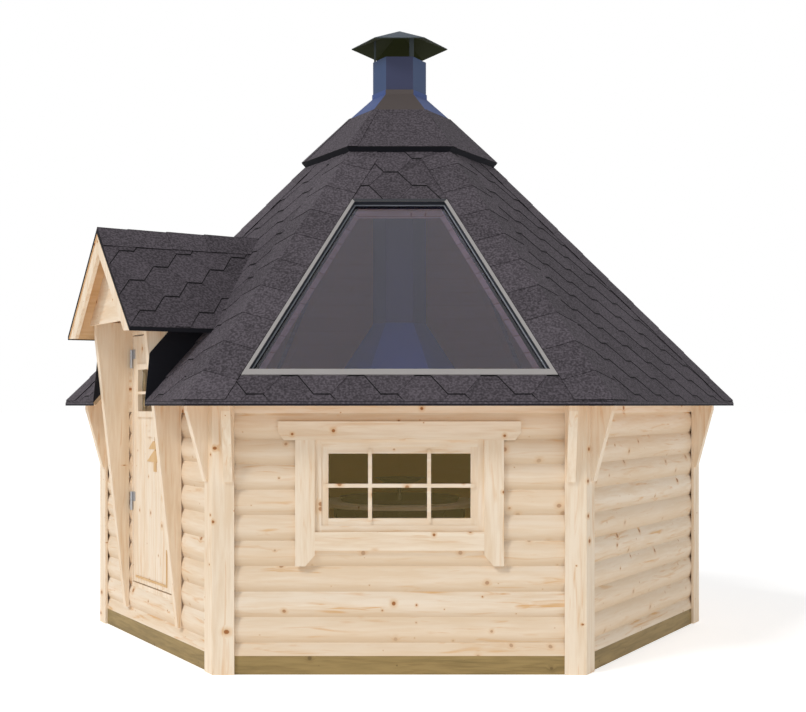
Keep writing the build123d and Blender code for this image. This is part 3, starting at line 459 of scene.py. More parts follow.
@dataclass(frozen=True)
class Wood:
    """A wooden finish."""

    name: str
    grain: Grain
    light: Colour = srgb(240, 224, 203)
    dark: Colour = srgb(230, 206, 176)
    streak: Colour = srgb(214, 160, 90)
    knot: Colour = srgb(150, 88, 34)
    streaks: float = 0.45
    knots: float = 0.9
    low: float = 0.0
    pitch: float = 0.0
    joints: float = 0.0
    # under and shade set painted shade: how strongly the lower half of each log darkens, and the colour it
    # darkens to
    under: float = 0.0
    shade: Colour = srgb(204, 176, 142)
    spread: float = 0.22
    seed: float = 0.0
    roughness: float = 0.62
    top: Colour | None = None
    # painted shade: faces that look in towards the middle take most of this colour
    inside: Colour | None = None
    stile: float = 0.0

    def fibres(self, skin: Skin, place: Socket) -> object:
        """Chooses the fibres' direction, upright on stiles.

        Args:
            skin: the material being built.
            place: the surface's place.

        Returns:
            The stretch, as numbers or a socket.
        """
        if not self.stile:
            return self.grain.value
        g = skin.graph
        mask = g.math("GREATER_THAN", g.math("ABSOLUTE", g.parts(place)[0]), self.stile)
        return g.blend(mask, self.grain.value, Grain.UPRIGHT.value)

    def build(self) -> Material:
        """Makes the material.

        Returns:
            The material.
        """
        skin = Skin(self.name, self.roughness, specular=0.3)
        g = skin.graph
        place = skin.place()
        seed: object = self.seed
        layer = None
        if self.pitch:
            height = g.parts(place)[2]
            layer = skin.group(Groups.layers, Height=height, Low=self.low, Pitch=self.pitch, Seed=self.seed)
            seed = g.math("ADD", g.math("MULTIPLY", layer.outputs["Tone"], 7.0), self.seed)
        wood = skin.group(
            Groups.wood,
            **{"Vector": place, "Unrolled": skin.unrolled(), "Stretch": self.fibres(skin, place)},
            **{"Light": self.light, "Dark": self.dark, "Streak": self.streak, "Knot": self.knot},
            **{"Streaks": self.streaks, "Knots": self.knots, "Seed": seed},
        )
        colour = wood.outputs["Color"]
        if layer:
            colour = g.blend(g.math("MULTIPLY", layer.outputs["Tone"], self.spread), colour, self.dark)
            # painted shade darkens the lower half of each log; the joint mark darkens the joints
            marks = (("Under", self.under, self.shade), ("Joint", self.joints, self.knot))
            for output, level, shade in marks:
                if level:
                    colour = g.blend(g.math("MULTIPLY", layer.outputs[output], level), colour, shade)
        # painted shade: faces that look in towards the middle turn mostly to the inside colour
        if self.inside:
            colour = g.blend(skin.facing_in(), colour, g.blend(0.85, colour, self.inside))
        # faces that look up take the top colour
        if self.top:
            colour = g.blend(skin.facing_up(), colour, self.top)
        g.feed(skin.shader.inputs["Base Color"], colour)
        skin.bump(wood.outputs["Height"], 0.25, 0.0012)
        return skin.material


@dataclass(frozen=True)
class Shingle:
    """A gritty roofing finish with a tone of its own for each tab."""

    name: str
    base: Colour
    pale: Colour

    def build(self) -> Material:
        """Makes the material.

        Returns:
            The material.
        """
        skin = Skin(self.name, 0.93, specular=0.2)
        tone = skin.graph.add("ShaderNodeAttribute", attribute_name="tab_tone")
        grit = skin.group(
            Groups.grit, Vector=skin.place(), Base=self.base, Pale=self.pale, Tone=tone.outputs["Fac"]
        )
        skin.graph.feed(skin.shader.inputs["Base Color"], grit.outputs["Color"])
        skin.bump(grit.outputs["Height"], 0.5, 0.0015)
        return skin.material


@dataclass(frozen=True)
class Metal:
    """A painted or bare sheet metal finish."""

    name: str
    base: Colour
    worn: Colour
    roughness: float
    metallic: float = 0.0
    specular: float = 0.5
    # under is painted shade: the colour that faces looking down take
    under: Colour | None = None
    # painted reflection: the colour that faces looking left or right take
    side_reflection: Colour | None = None

    def build(self) -> Material:
        """Makes the material.

        Returns:
            The material.
        """
        skin = Skin(self.name, self.roughness, self.metallic, self.specular)
        wear = skin.group(
            Groups.sheet, Vector=skin.place(), Base=self.base, Worn=self.worn, Roughness=self.roughness
        )
        colour = wear.outputs["Color"]
        # painted shade: faces that look down take the under colour, upright faces half of it
        if self.under:
            colour = skin.graph.blend(skin.facing_up(), self.under, colour)
        # painted reflection: faces that look left or right take their own colour
        if self.side_reflection:
            colour = skin.graph.blend(skin.facing_side(), colour, self.side_reflection)
        skin.graph.feed(skin.shader.inputs["Base Color"], colour)
        skin.graph.feed(skin.shader.inputs["Roughness"], wear.outputs["Roughness"])
        return skin.material


@dataclass(frozen=True)
class Glass:
    """A clear or tinted pane."""

    name: str
    tint: Colour
    ior: float = 1.45
    sheen: Colour = (1.0, 1.0, 1.0)

    def build(self) -> Material:
        """Makes the material.

        Returns:
            The material.
        """
        skin = Skin(self.name, 0.0)
        skin.shader.inputs["Transmission Weight"].default_value = 1.0
        skin.shader.inputs["IOR"].default_value = self.ior
        skin.shader.inputs["Specular Tint"].default_value = (*self.sheen, 1.0)
        smear = skin.graph.noise(skin.place(), 3.0, 2.0)
        colour = skin.graph.blend(smear, self.tint, tuple(0.94 * part for part in self.tint))
        skin.graph.feed(skin.shader.inputs["Base Color"], colour)
        return skin.material


@dataclass(frozen=True)
class Slope:
    """A flat roof face with axes of its own: u level along it and v up it, in metres."""

    origin: Vector
    along: Vector
    up: Vector

    @property
    def normal(self) -> Vector:
        """Returns the direction away from the roof."""
        return self.along.cross(self.up)

    def point(self, u: float, v: float, lift: float) -> Vector:
        """Places a point.

        Args:
            u: how far along.
            v: how far up.
            lift: how far off the face.

        Returns:
            The point in the frame.
        """
        return self.origin + self.along * u + self.up * v + self.normal * lift


def turn(side: int) -> Matrix:
    """Returns the turn from the front wall to another side."""
    return Matrix.Rotation(math.radians(60 * side), 3, "Z")


def side_slope(side: int, out: float, height: float, rise: float) -> Slope:
    """Makes the slope of one side of a six-sided roof.

    Args:
        side: the side's number.
        out: how far out its lower edge lies.
        height: the lower edge's height.
        rise: rise over run.

    Returns:
        The slope, with u = 0 at its middle and v = 0 at its lower edge.
    """
    matrix = turn(side)
    up = Vector((0, 1, rise)).normalized()
    return Slope(matrix @ Vector((0, -out, height)), matrix @ Vector((1, 0, 0)), matrix @ up)


def sides_of(points: Sequence[Pair]) -> Iterable[tuple[Pair, Pair]]:
    """Returns the two ends of each side of a polygon."""
    return zip(points, [*points[1:], points[0]])


def rectangle(left: float, right: float, low: float, high: float) -> list[Pair]:
    """Returns a rectangle's corners, counter-clockwise from the lower left."""
    return [(left, low), (right, low), (right, high), (left, high)]


def mirrored(points: Sequence[Pair]) -> list[Pair]:
    """Returns a polygon mirrored left to right, still counter-clockwise."""
    return [(-u, v) for u, v in reversed(points)]


def clip(points: list[Pair], region: Sequence[Pair]) -> list[Pair]:
    """Cuts a flat polygon to a convex region.

    Args:
        points: the polygon's corners.
        region: the region's corners, counter-clockwise.

    Returns:
        The corners of what is left, or nothing.
    """
    for (ax, ay), (bx, by) in sides_of(region):
        kept: list[Pair] = []

        def side(p: Pair) -> float:
            """Returns how far inside the edge a point is."""
            return (bx - ax) * (p[1] - ay) - (by - ay) * (p[0] - ax)

        for (u, v), there in sides_of(points):
            a, b = side((u, v)), side(there)
            if a >= 0:
                kept.append((u, v))
            if (a > 0 > b) or (a < 0 < b):
                share = a / (a - b)
                kept.append((u + (there[0] - u) * share, v + (there[1] - v) * share))
        points = kept
        if len(points) < 3:
            return []
    return points


def within(point: Pair, region: Sequence[Pair]) -> bool:
    """Returns whether a point lies in a convex region given counter-clockwise."""
    u, v = point
    return all((bx - ax) * (v - ay) >= (by - ay) * (u - ax) for (ax, ay), (bx, by) in sides_of(region))


def area(points: Sequence[Pair]) -> float:
    """Returns the area of a flat polygon."""
    return sum(ax * by - bx * ay for (ax, ay), (bx, by) in sides_of(points)) / 2


class Sheaf:
    """A mesh put together from flat plates, with a tone for each."""

    def __init__(self, seed: int = 0) -> None:
        """Starts an empty mesh with dice of its own.

        Args:
            seed: what the dice start from.
        """
        self.corners: list[Vector] = []
        self.faces: list[list[int]] = []
        self.tones: list[float] = []
        self.dice = random.Random(seed)

    def plate(
        self,
        tops: Sequence[Vector],
        bottoms: Sequence[Vector],
        tone: float = PLAIN_TONE,
        cut_and_shade_sides: Sequence[bool] | None = None,
    ) -> None:
        """Adds a closed plate.

        Args:
            tops: the upper face's corners, counter-clockwise from above.
            bottoms: the corners below them.
            tone: its tone.
            cut_and_shade_sides: whether each side shows a dark edge, part raw edge and part painted shade, or
                None where all do.
        """
        first, count = len(self.corners), len(tops)
        under = first + count
        self.corners += [*tops, *bottoms]
        self.faces += [list(range(first, under)), list(reversed(range(under, under + count)))]
        for k in range(count):
            after = (k + 1) % count
            self.faces.append([first + k, under + k, under + after, first + after])
        self.tones += [tone, tone] + [CUT_AND_SHADE_TONE if cut_and_shade_sides is None or cut_and_shade_sides[k] else tone for k in range(count)]

    def slab(
        self, slope: Slope, outline: Sequence[Pair], lifts: Pair, cut_and_shade_sides: Sequence[bool] | None = None
    ) -> None:
        """Adds a flat plate that lies along a slope.

        Args:
            slope: the roof face.
            outline: its corners as (u, v), counter-clockwise.
            lifts: how far off the slope its under and upper faces lie.
            cut_and_shade_sides: whether each side shows a dark edge, part raw edge and part painted shade, or
                None where all do.
        """
        bottoms, tops = ([slope.point(u, v, lift) for u, v in outline] for lift in lifts)
        self.plate(tops, bottoms, cut_and_shade_sides=cut_and_shade_sides)

    def upright(
        self,
        side: int,
        outlines: Sequence[Sequence[Pair]],
        outs: Pair,
        cut_and_shade_sides: Sequence[bool] | None = None,
    ) -> None:
        """Adds an upright plate that faces the same way as a side of the hut.

        Args:
            side: the side's number.
            outlines: (across, height) of its outer and inner corners, counter-clockwise from outside.
            outs: how far out its outer and inner faces lie.
            cut_and_shade_sides: whether each side shows a dark edge, part raw edge and part painted shade, or
                None where all do.
        """
        matrix = turn(side)
        faces = [[matrix @ Vector((x, -out, z)) for x, z in ring] for ring, out in zip(outlines, outs)]
        self.plate(faces[0], faces[1], cut_and_shade_sides=cut_and_shade_sides)

    def piece(self, name: str, material: Material, body: str, slot: str) -> None:
        """Makes the object.

        Args:
            name: the piece's name.
            material: its finish.
            body: the CAD body it rides on.
            slot: a material slot's name; it is not used.
        """
        mesh = bpy.data.meshes.new(name)
        mesh.from_pydata([tuple(c) for c in self.corners], [], self.faces)
        tones = mesh.attributes.new("tab_tone", "FLOAT", "FACE")
        tones.data.foreach_set("value", self.tones)
        mesh.materials.append(material)
        mesh.validate()
        made = bpy.data.objects.new(name, mesh)
        bpy.context.scene.collection.objects.link(made)
        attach(made, body)
        LOG.info("%s: %d faces", name, len(mesh.polygons))


@dataclass(frozen=True)
class TabPattern:
    """Six-cornered roofing tabs laid in staggered rows."""

    pitch: float = 0.333
    flat: float = 0.084
    course: float = 0.125
    thickness: float = 0.0030
    low_lift: float = 0.0062
    high_lift: float = 0.0006
    bevel: Pair = (0.0035, 0.0045)
    least_area: float = 1e-5
    # falling picks the slant that shows the dark edge, which is painted shade, and the way the bevel leans
    falling: bool = True

    def cut_and_shade_sides(self, outline: Sequence[Pair], foot: float) -> list[bool]:
        """Finds the sides of a tab that show a dark edge: its own foot and one of its slants. The raw edge is
        dark of itself, and giving it to one slant only is painted shade.

        Args:
            outline: what is left of the tab, as (u, v).
            foot: v at the tab's foot.

        Returns:
            A mark for each side.
        """
        slant = self.course / (self.pitch / 2 - self.flat)
        marks = []
        for (ax, ay), (bx, by) in sides_of(outline):
            run, rise = bx - ax, ay - by if self.falling else by - ay
            level = abs(ay - foot) < NEAR and abs(by - foot) < NEAR
            marks.append(run > NEAR and (level or abs(rise - slant * run) < 10 * NEAR))
        return marks

    def lift(self, v: float, foot: float) -> float:
        """Returns a tab's height off the roof at v, for a tab whose foot is at foot."""
        share = min(1.0, max(0.0, (v - foot) / (2 * self.course)))
        return self.low_lift + (self.high_lift - self.low_lift) * share

    def cover(self, sheaf: Sheaf, slope: Slope, regions: Sequence[Sequence[Pair]], first: Pair) -> None:
        """Lays tabs over convex regions of a slope.

        Args:
            sheaf: the mesh they go into.
            slope: the roof face.
            regions: what is covered, as polygons of (u, v).
            first: (u, v) at the middle of one tab's foot.
        """
        us = [u for region in regions for u, _ in region]
        vs = [v for region in regions for _, v in region]
        low_row = math.floor((min(vs) - first[1]) / self.course) - 1
        high_row = math.ceil((max(vs) - first[1]) / self.course)
        for row in range(low_row, high_row):
            foot = first[1] + row * self.course
            shift = first[0] + (self.pitch / 2 if row % 2 else 0.0)
            low_tab = math.floor((min(us) - shift) / self.pitch) - 1
            high_tab = math.ceil((max(us) - shift) / self.pitch) + 1
            for tab in range(low_tab, high_tab):
                middle = shift + tab * self.pitch
                tone = sheaf.dice.random()
                for region in regions:
                    self.tab(sheaf, slope, region, (middle, foot), tone)

    def tab(self, sheaf: Sheaf, slope: Slope, region: Sequence[Pair], foot: Pair, tone: float) -> None:
        """Adds what a region leaves of one tab.

        Args:
            sheaf: the mesh it goes into.
            slope: the roof face.
            region: the convex region.
            foot: (u, v) at the middle of the tab's foot.
            tone: the tab's tone.
        """
        u, v = foot
        half = self.pitch / 2
        steps = ((self.flat / 2, 0), (half - self.flat / 2, 1), (half, 1), (half, 2))
        right = [(u + across, v + rows * self.course) for across, rows in steps]
        outline = [*right, *((u - across, v + rows * self.course) for across, rows in reversed(steps))]
        left = clip([outline[-1], *outline[:-1]], region)
        if not left or area(left) < self.least_area:
            return
        cut_and_shade_sides = self.cut_and_shade_sides(left, v)
        tops = [slope.point(a, b, self.lift(b, v)) for a, b in left]
        bottoms = []
        for k, (a, b) in enumerate(left):
            lower = (a - self.bevel[0] if self.falling else a + self.bevel[0], b - self.bevel[1])
            if not (cut_and_shade_sides[k] or cut_and_shade_sides[k - 1]) or not within(lower, region):
                lower = (a, b)
            bottoms.append(slope.point(*lower, self.lift(b, v) - self.thickness))
        sheaf.plate(tops, bottoms, tone, cut_and_shade_sides)


@dataclass(frozen=True)
class CapPattern:
    """Folded tabs laid up a hip or along a ridge."""

    width: float = 0.180
    lap: float = 0.03
    thickness: float = 0.0030
    low_lift: float = 0.0095
    high_lift: float = 0.0066

    def fold(
        self,
        sheaf: Sheaf,
        ends: tuple[Vector, Vector],
        faces: tuple[Slope, Slope],
        regions: tuple[Sequence[Pair], Sequence[Pair]],
        joints: Sequence[Pair],
    ) -> None:
        """Lays caps over the edge between two slopes.

        Args:
            sheaf: the mesh they go into.
            ends: where the edge starts and ends.
            faces: the slopes on both sides of it.
            regions: the convex region of each slope that they may cover.
            joints: the start and end of each cap, along the edge.
        """
        low, high = ends
        edge = (high - low).normalized()
        half = math.tan(faces[0].normal.angle(faces[1].normal) / 2)
        for start, end in joints:
            tone = sheaf.dice.random()
            for place, face in enumerate(faces):
                away = edge.cross(face.normal)
                if away.dot(faces[1 - place].normal) > 0:
                    away = -away
                outline = []
                for along, reach in (
                    (start, -self.low_lift * half),
                    (start, self.width),
                    (end, self.width),
                    (end, -self.high_lift * half),
                ):
                    step = low + edge * along + away * reach - face.origin
                    outline.append((step.dot(face.along), step.dot(face.up)))
                if area(outline) < 0:
                    outline.reverse()
                tops, bottoms = [], []
                for u, v in clip(outline, regions[place]):
                    share = ((face.point(u, v, 0) - low).dot(edge) - start) / (end - start)
                    lift = self.low_lift + (self.high_lift - self.low_lift) * share
                    tops.append(face.point(u, v, lift))
                    bottoms.append(face.point(u, v, lift - self.thickness))
                if tops:
                    sheaf.plate(tops, bottoms, tone)


class Finishes:
    """Every material of the hut, by the part it belongs to."""

    def __init__(self) -> None:
        """Builds the node groups and the materials."""
        Groups.build()
        # inner is painted shade: a darker, warmer tone for the dim interior, on the inside faces of the logs
        # and roof boards
        inner = srgb(234, 188, 118)
        # under paints shade on the lower half of each log
        log = dict(low=0.16, pitch=0.13, under=0.6, spread=0.5, streaks=0.8, inside=inner)
        # black_top is near black and goes on the faces that look up on the roof boards and dormer roof boards
        pale, black_top = srgb(242, 225, 202), srgb(30, 29, 31)
        seeds = [3.0 + 11.3 * side for side in range(SIDES)]
        self.logs = [
            Wood(f"spruce_logs_{side}", Grain.LEVEL, seed=seed, **log).build()
            for side, seed in enumerate(seeds)
        ]
        self.rails = Wood("spruce_rails", Grain.LEVEL, seed=5.0).build()
        self.boards = Wood("spruce_boards", Grain.UPRIGHT, light=pale, seed=21.0).build()
        self.level_boards = Wood("spruce_level_boards", Grain.LEVEL, light=pale, seed=31.0).build()
        self.frame_wood = Wood("spruce_frame", Grain.LEVEL, stile=0.397, seed=37.0, knots=0.7).build()
        self.sash_wood = Wood("spruce_sash", Grain.LEVEL, stile=0.362, seed=41.0, knots=0.7).build()
        self.door_boards = Wood("spruce_door_boards", Grain.UPRIGHT, seed=47.0, knots=0.6).build()
        light, dark = srgb(220, 184, 136), srgb(206, 166, 116)
        self.ornament = Wood(
            "spruce_ornament", Grain.UPRIGHT, light=light, dark=dark, knots=0.0, seed=51.0
        ).build()
        beam = dict(light=srgb(158, 134, 86), dark=srgb(128, 108, 66), streak=srgb(112, 88, 48))
        self.treated = Wood(
            "treated_beams", Grain.LEVEL, knot=srgb(78, 58, 34), knots=0.5, seed=9.0, **beam
        ).build()
        lining = dict(light=srgb(226, 196, 160), dark=srgb(206, 170, 128), top=black_top, inside=inner)
        self.roof_boards = Wood(
            "roof_boards", Grain.LEVEL, low=1.37, pitch=0.09, joints=0.7, seed=13.0, **lining
        ).build()
        light, dark = srgb(226, 188, 144), srgb(212, 170, 122)
        self.soffit = Wood("dormer_soffit", Grain.LEVEL, light=light, dark=dark, seed=15.0, top=black_top).build()
        self.floor = Wood("floor_boards", Grain.LEVEL, seed=17.0).build()
        self.shingle = Shingle("roof_shingle", srgb(54, 50, 54), srgb(118, 110, 118)).build()
        self.cap = Shingle("cap_shingle", srgb(57, 53, 57), srgb(122, 114, 122)).build()
        self.edge = Metal("eave_edge", srgb(20, 20, 26), srgb(30, 30, 36), 0.7, specular=0.15).build()
        # the pipe's and the flashing's side faces carry painted reflection in a bluer tone
        self.pipe = Metal(
            "pipe_paint", srgb(52, 56, 84), srgb(62, 68, 96), 0.45, specular=0.3, side_reflection=srgb(44, 66, 104)
        ).build()
        self.hood = Metal("hood_paint", srgb(34, 84, 150), srgb(46, 98, 166), 0.4).build()
        # the hat's under colour is painted shade on its down-facing faces
        self.hat = Metal(
            "hat_paint", srgb(84, 92, 102), srgb(104, 112, 120), 0.6, specular=0.06, under=srgb(40, 44, 10)
        ).build()
        self.flashing = Metal(
            "flashing_paint", srgb(84, 76, 74), srgb(96, 88, 86), 0.55, specular=0.2, side_reflection=srgb(66, 84, 134)
        ).build()
        self.skylight = Metal("skylight_rail", srgb(158, 154, 152), srgb(176, 172, 170), 0.45, 0.2).build()
        # painted shade: near black for the skylight's recess walls and head
        self.recess_shade = Metal("skylight_recess_shade", srgb(24, 27, 34), srgb(34, 38, 46), 0.5).build()
        self.bead = Metal("skylight_bead", srgb(150, 154, 162), srgb(172, 176, 182), 0.35, 0.3).build()
        self.iron = Metal("black_iron", srgb(44, 42, 42), srgb(62, 60, 60), 0.55).build()
        self.pan = Metal("pan_steel", srgb(120, 118, 112), srgb(142, 140, 134), 0.4, 0.6).build()
        self.zinc = Metal("zinc", srgb(176, 178, 182), srgb(196, 198, 202), 0.35, 0.6).build()
        self.tinted = Glass("tinted_pane", srgb(204, 200, 240), 1.5).build()
        self.clear = Glass("clear_pane", srgb(253, 248, 224), 1.45, (1.0, 0.75, 0.3)).build()


def dress(names: Iterable[str], material: Material) -> None:
    """Gives CAD nodes their finish.

    Args:
        names: the nodes' names.
        material: the finish.
    """
    for name in names:
        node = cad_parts[name]
        node.data.materials.clear()
        node.data.materials.append(material)
        for polygon in node.data.polygons:
            polygon.material_index = 0
        LOG.info("%s: %s", name, material.name)


@dataclass
class Walls:
    """Log walls, posts, brackets, base and floor."""

    finishes: Finishes

    def build(self) -> None:
        """Dresses the walls."""
        f = self.finishes
        names = ["front_wall", "right_front_wall", "right_back_wall", "back_wall", "left_back_wall"]
        for side, name in enumerate(names):
            dress([name], f.logs[side])
        dress(["door_wall_left", "door_wall_right", "door_sill_wall"], f.logs[DOOR_SIDE])
        dress(["wall_top_rails"], f.rails)
        dress(["corner_posts", "eave_brackets"], f.boards)
        dress(["base_frame", "floor_joists"], f.treated)
        dress(["floor_deck"], f.floor)


@dataclass
class Window:
    """The front window."""

    finishes: Finishes

    def build(self) -> None:
        """Dresses the window."""
        f = self.finishes
        dress(["window_casing"], f.level_boards)
        dress(["window_side_boards"], f.boards)
        dress(["window_frame"], f.frame_wood)
        dress(["window_sash"], f.sash_wood)
        dress(["window_glass"], f.clear)


@dataclass
class MainRoof:
    """The six slopes with their tabs, hip caps, eave edge and skylight."""

    finishes: Finishes
    corner_r: float = 2.120
    eave_z: float = 1.38527
    lip_z: float = 1.3778
    strip_low_z: float = 1.3680
    edge_proud: float = 0.001
    edge_thickness: float = 0.003
    hip_rise: float = 0.9763
    top_r: float = 0.594
    eave_step: float = 0.0052
    cap_foot: float = 0.0115
    cap_start: float = 0.0105
    cap_step: float = 0.160
    skylight_low: float = 1.717
    skylight_top: float = 0.809
    skylight_inset: float = 0.197
    skylight_side: float = 0.018
    skylight_foot: float = 0.038
    rail_slant: float = 1.07
    # The next two set the near-black strip of painted shade on the recess walls.
    recess_shade_lifts: Pair = (-0.0195, 0.008)
    recess_shade_w: float = 0.0035
    bead_w: float = 0.0055
    bead_h: float = 0.004
    # how far off the slope the head strip lies; that strip is painted shade in near black
    head_shade_lifts: Pair = (0.0104, 0.0116)
    dormer_ridge_z: float = 2.355
    cheek_out: float = 0.470
    cheek_gap: float = 0.005
    field_foot: Pair = (0.616, 0.054)
    field_shift: float = 0.07

    @property
    def eave_out(self) -> float:
        """Returns how far out the eave lies from the middle."""
        return self.corner_r * COS30

    @property
    def rise(self) -> float:
        """Returns rise over run of a slope."""
        return self.hip_rise / COS30

    @property
    def run_share(self) -> float:
        """Returns the level part of one metre up a slope."""
        return 1 / math.sqrt(1 + self.rise**2)

    def slope(self, side: int) -> Slope:
        """Returns the slope of a side."""
        return side_slope(side, self.eave_out, self.eave_z, self.rise)

    def up(self, out: float) -> float:
        """Returns v for a distance out from the middle."""
        return (self.eave_out - out) / self.run_share

    def half(self, v: float) -> float:
        """Returns half the slope's width at v."""
        return (self.eave_out - v * self.run_share) * TAN30

    def band(self, low: float, high: float) -> list[Pair]:
        """Returns the whole width of a slope between two heights up it."""
        foot, head = self.half(low), self.half(high)
        return [(-foot, low), (foot, low), (head, high), (-head, high)]

    def build(self) -> None:
        """Dresses the slopes and lays everything on them."""
        f = self.finishes
        panels = ["roof_front", "roof_right_front", "roof_right_back", "roof_back", "roof_left_back"]
        dress([*panels, "roof_door_side"], f.roof_boards)
        dress(["hip_rafters", "roof_collar", "skylight_trimmers"], f.roof_boards)
        dress(["skylight_frame"], f.skylight)
        dress(["skylight_glass"], f.tinted)
        top = self.up(self.top_r * COS30)
        for side, name in enumerate([*panels, "roof_door_side"]):
            sheaf = Sheaf(100 + side)
            if side == 0:
                regions = self.around_skylight(top)
            elif side == DOOR_SIDE:
                regions = self.around_dormer(top)
            else:
                regions = [self.band(self.eave_step, top)]
            foot = (self.field_foot[0] + self.field_shift * side, self.field_foot[1])
            TabPattern().cover(sheaf, self.slope(side), regions, foot)
            sheaf.piece(f"{name}_tabs", f.shingle, HUT, "shingle")
        self.hip_caps(top)
        self.eave_edge()
        self.skylight_strips()

    def skylight_half(self, v: float) -> float:
        """Returns half the skylight's width at v."""
        return self.half(v) - self.skylight_inset

    def around_skylight(self, top: float) -> list[list[Pair]]:
        """Returns the front slope's regions round the skylight.

        Args:
            top: v where the slope's tabs end.

        Returns:
            Four convex regions.
        """
        low, high = self.up(self.skylight_low), self.up(self.skylight_top) - self.skylight_side
        foot, head = self.skylight_half(low), self.skylight_half(high)
        right = [(foot, low), (self.half(low), low), (self.half(high), high), (head, high)]
        return [self.band(self.eave_step, low), right, mirrored(right), self.band(high, top)]

    def around_dormer(self, top: float) -> list[list[Pair]]:
        """Returns the door slope's regions round the dormer.

        Args:
            top: v where the slope's tabs end.

        Returns:
            Four convex regions.
        """
        cheek = self.cheek_out
        rise = self.rise * self.run_share
        ridge = (self.dormer_ridge_z - self.eave_z) / rise
        valley = (self.dormer_ridge_z - cheek - self.eave_z) / rise
        corner = self.up(cheek / TAN30)
        beside = [(cheek, self.eave_step), (self.half(self.eave_step), self.eave_step), (cheek, corner)]
        above = [(0.0, ridge), (cheek, valley), (cheek, corner), (self.half(top), top), (0.0, top)]
        return [beside, above, mirrored(beside), mirrored(above)]

    def hip_caps(self, top: float) -> None:
        """Lays caps up the six hips.

        Args:
            top: v where the caps end.
        """
        pattern = CapPattern()
        sheaf = Sheaf(7)
        length = math.sqrt(1 + self.hip_rise**2)
        start_r = self.corner_r - self.cap_start
        apex = Vector((0, 0, self.eave_z + self.hip_rise * self.corner_r))
        wide = rectangle(-WIDE, WIDE, self.cap_foot, top)
        joints = []
        radius = self.corner_r
        while radius > self.top_r:
            begin = max(0.0, (start_r - radius) * length)
            end = (start_r - max(self.top_r, radius - self.cap_step)) * length + pattern.lap
            joints.append((begin, min(end, (start_r - self.top_r) * length)))
            radius -= self.cap_step
        for side in range(SIDES):
            angle = math.radians(60 * side - 60)
            down = Vector((math.cos(angle), math.sin(angle), -self.hip_rise))
            ends = (apex + down * start_r, apex + down * self.top_r)
            faces = (self.slope(side), self.slope((side + 1) % SIDES))
            pattern.fold(sheaf, ends, faces, (wide, wide), joints)
        sheaf.piece("hip_cap_tabs", self.finishes.cap, HUT, "shingle")

    def eave_edge(self) -> None:
        """Folds the tabs over the edge of each slope, with a thin dark strip under them."""
        lip, strip = Sheaf(), Sheaf()
        rows = ((lip, self.lip_z, self.eave_z + self.edge_proud), (strip, self.strip_low_z, self.lip_z))
        outs = (self.eave_out, self.eave_out - self.edge_thickness)
        for side in range(SIDES):
            gap = self.cheek_out - self.cheek_gap if side == DOOR_SIDE else 0.0
            for sheaf, low, high in rows:
                outer, inner = (rectangle(gap, out * TAN30, low, high) for out in outs)
                for pair in ((mirrored(outer), mirrored(inner)), (outer, inner)):
                    sheaf.upright(side, pair, outs, [False] * 4)
        lip.piece("eave_lip_tabs", self.finishes.shingle, HUT, "shingle")
        strip.piece("eave_edge_strip", self.finishes.edge, HUT, "sheet_metal")

    def skylight_strips(self) -> None:
        """Lines the skylight's recess with a near-black strip of painted shade and a bright bead on the
        glass, and lays a near-black strip of painted shade along its head.
        """
        slope = self.slope(0)
        low = self.up(self.skylight_low) + self.skylight_foot
        high = self.up(self.skylight_top) - self.skylight_side
        side_step = self.skylight_side / math.cos(math.atan(self.run_share * TAN30))
        near, far = self.recess_shade_lifts
        for name, offset, width, reach, material in (
            ("skylight_recess_shade", 0.0, self.recess_shade_w, (near, far), self.finishes.recess_shade),
            ("skylight_bead", self.recess_shade_w, self.bead_w, (near, near + self.bead_h), self.finishes.bead),
        ):
            sheaf = Sheaf()
            rails = []
            for step in (offset, offset + width):
                inset = side_step + step * self.rail_slant
                foot, head = (self.skylight_half(v) - inset for v in (low, high - step))
                rails.append([(-foot, low), (-head, high - step), (head, high - step), (foot, low)])
            outer, inner = rails
            for k in range(3):
                sheaf.slab(slope, [outer[k], inner[k], inner[k + 1], outer[k + 1]], reach)
            sheaf.piece(name, material, HUT, "skylight_metal")
        # the head strip below is painted shade in near black
        top = high + self.skylight_side
        foot, head = self.skylight_half(high) - side_step, self.skylight_half(top)
        strip = Sheaf()
        strip.slab(slope, [(-foot, high), (foot, high), (head, top), (-head, top)], self.head_shade_lifts)
        strip.piece("skylight_head_shade", self.finishes.recess_shade, HUT, "skylight_metal")


@dataclass
class Crown:
    """The upper roof, flashing, pipe, hat and hood."""

    finishes: Finishes
    low_r: float = 0.620
    low_z: float = 2.9032
    top_r: float = 0.318
    hip_rise: float = 0.923
    flap_low: float = 0.062
    flap_top: float = 0.030
    foot: float = 0.002
    thickness: float = 0.003
    sheet_lift: float = 0.0036
    flap_lift: float = 0.0062

    def build(self) -> None:
        """Dresses the crown and lays its sheets."""
        f = self.finishes
        dress(["crown_roof", "crown_battens"], f.edge)
        dress(["crown_flashing"], f.flashing)
        dress(["chimney_pipe"], f.pipe)
        dress(["smoke_hood"], f.hood)
        dress(["chimney_hat"], f.hat)
        rise = self.hip_rise / COS30
        run_share = 1 / math.sqrt(1 + rise**2)
        out, top = self.low_r * COS30, (self.low_r - self.top_r) * COS30 / run_share
        wide, narrow = (out - self.foot * run_share) * TAN30, self.top_r * COS30 * TAN30
        sheet = [(-wide, self.foot), (wide, self.foot), (narrow, top), (-narrow, top)]
        flap = [sheet[0], (self.flap_low - wide, self.foot), (self.flap_top - narrow, top), sheet[3]]
        sheets = Sheaf()
        for side in range(SIDES):
            slope = side_slope(side, out, self.low_z, rise)
            for outline, lift in ((sheet, self.sheet_lift), (flap, self.flap_lift)):
                # the foot and the flap's slant show the dark edge: part raw edge, part painted shade
                cut_and_shade_sides = [True, outline is flap, False, False]
                sheets.slab(slope, outline, (lift - self.thickness, lift), cut_and_shade_sides)
        sheets.piece("crown_sheets", f.shingle, HUT, "shingle")


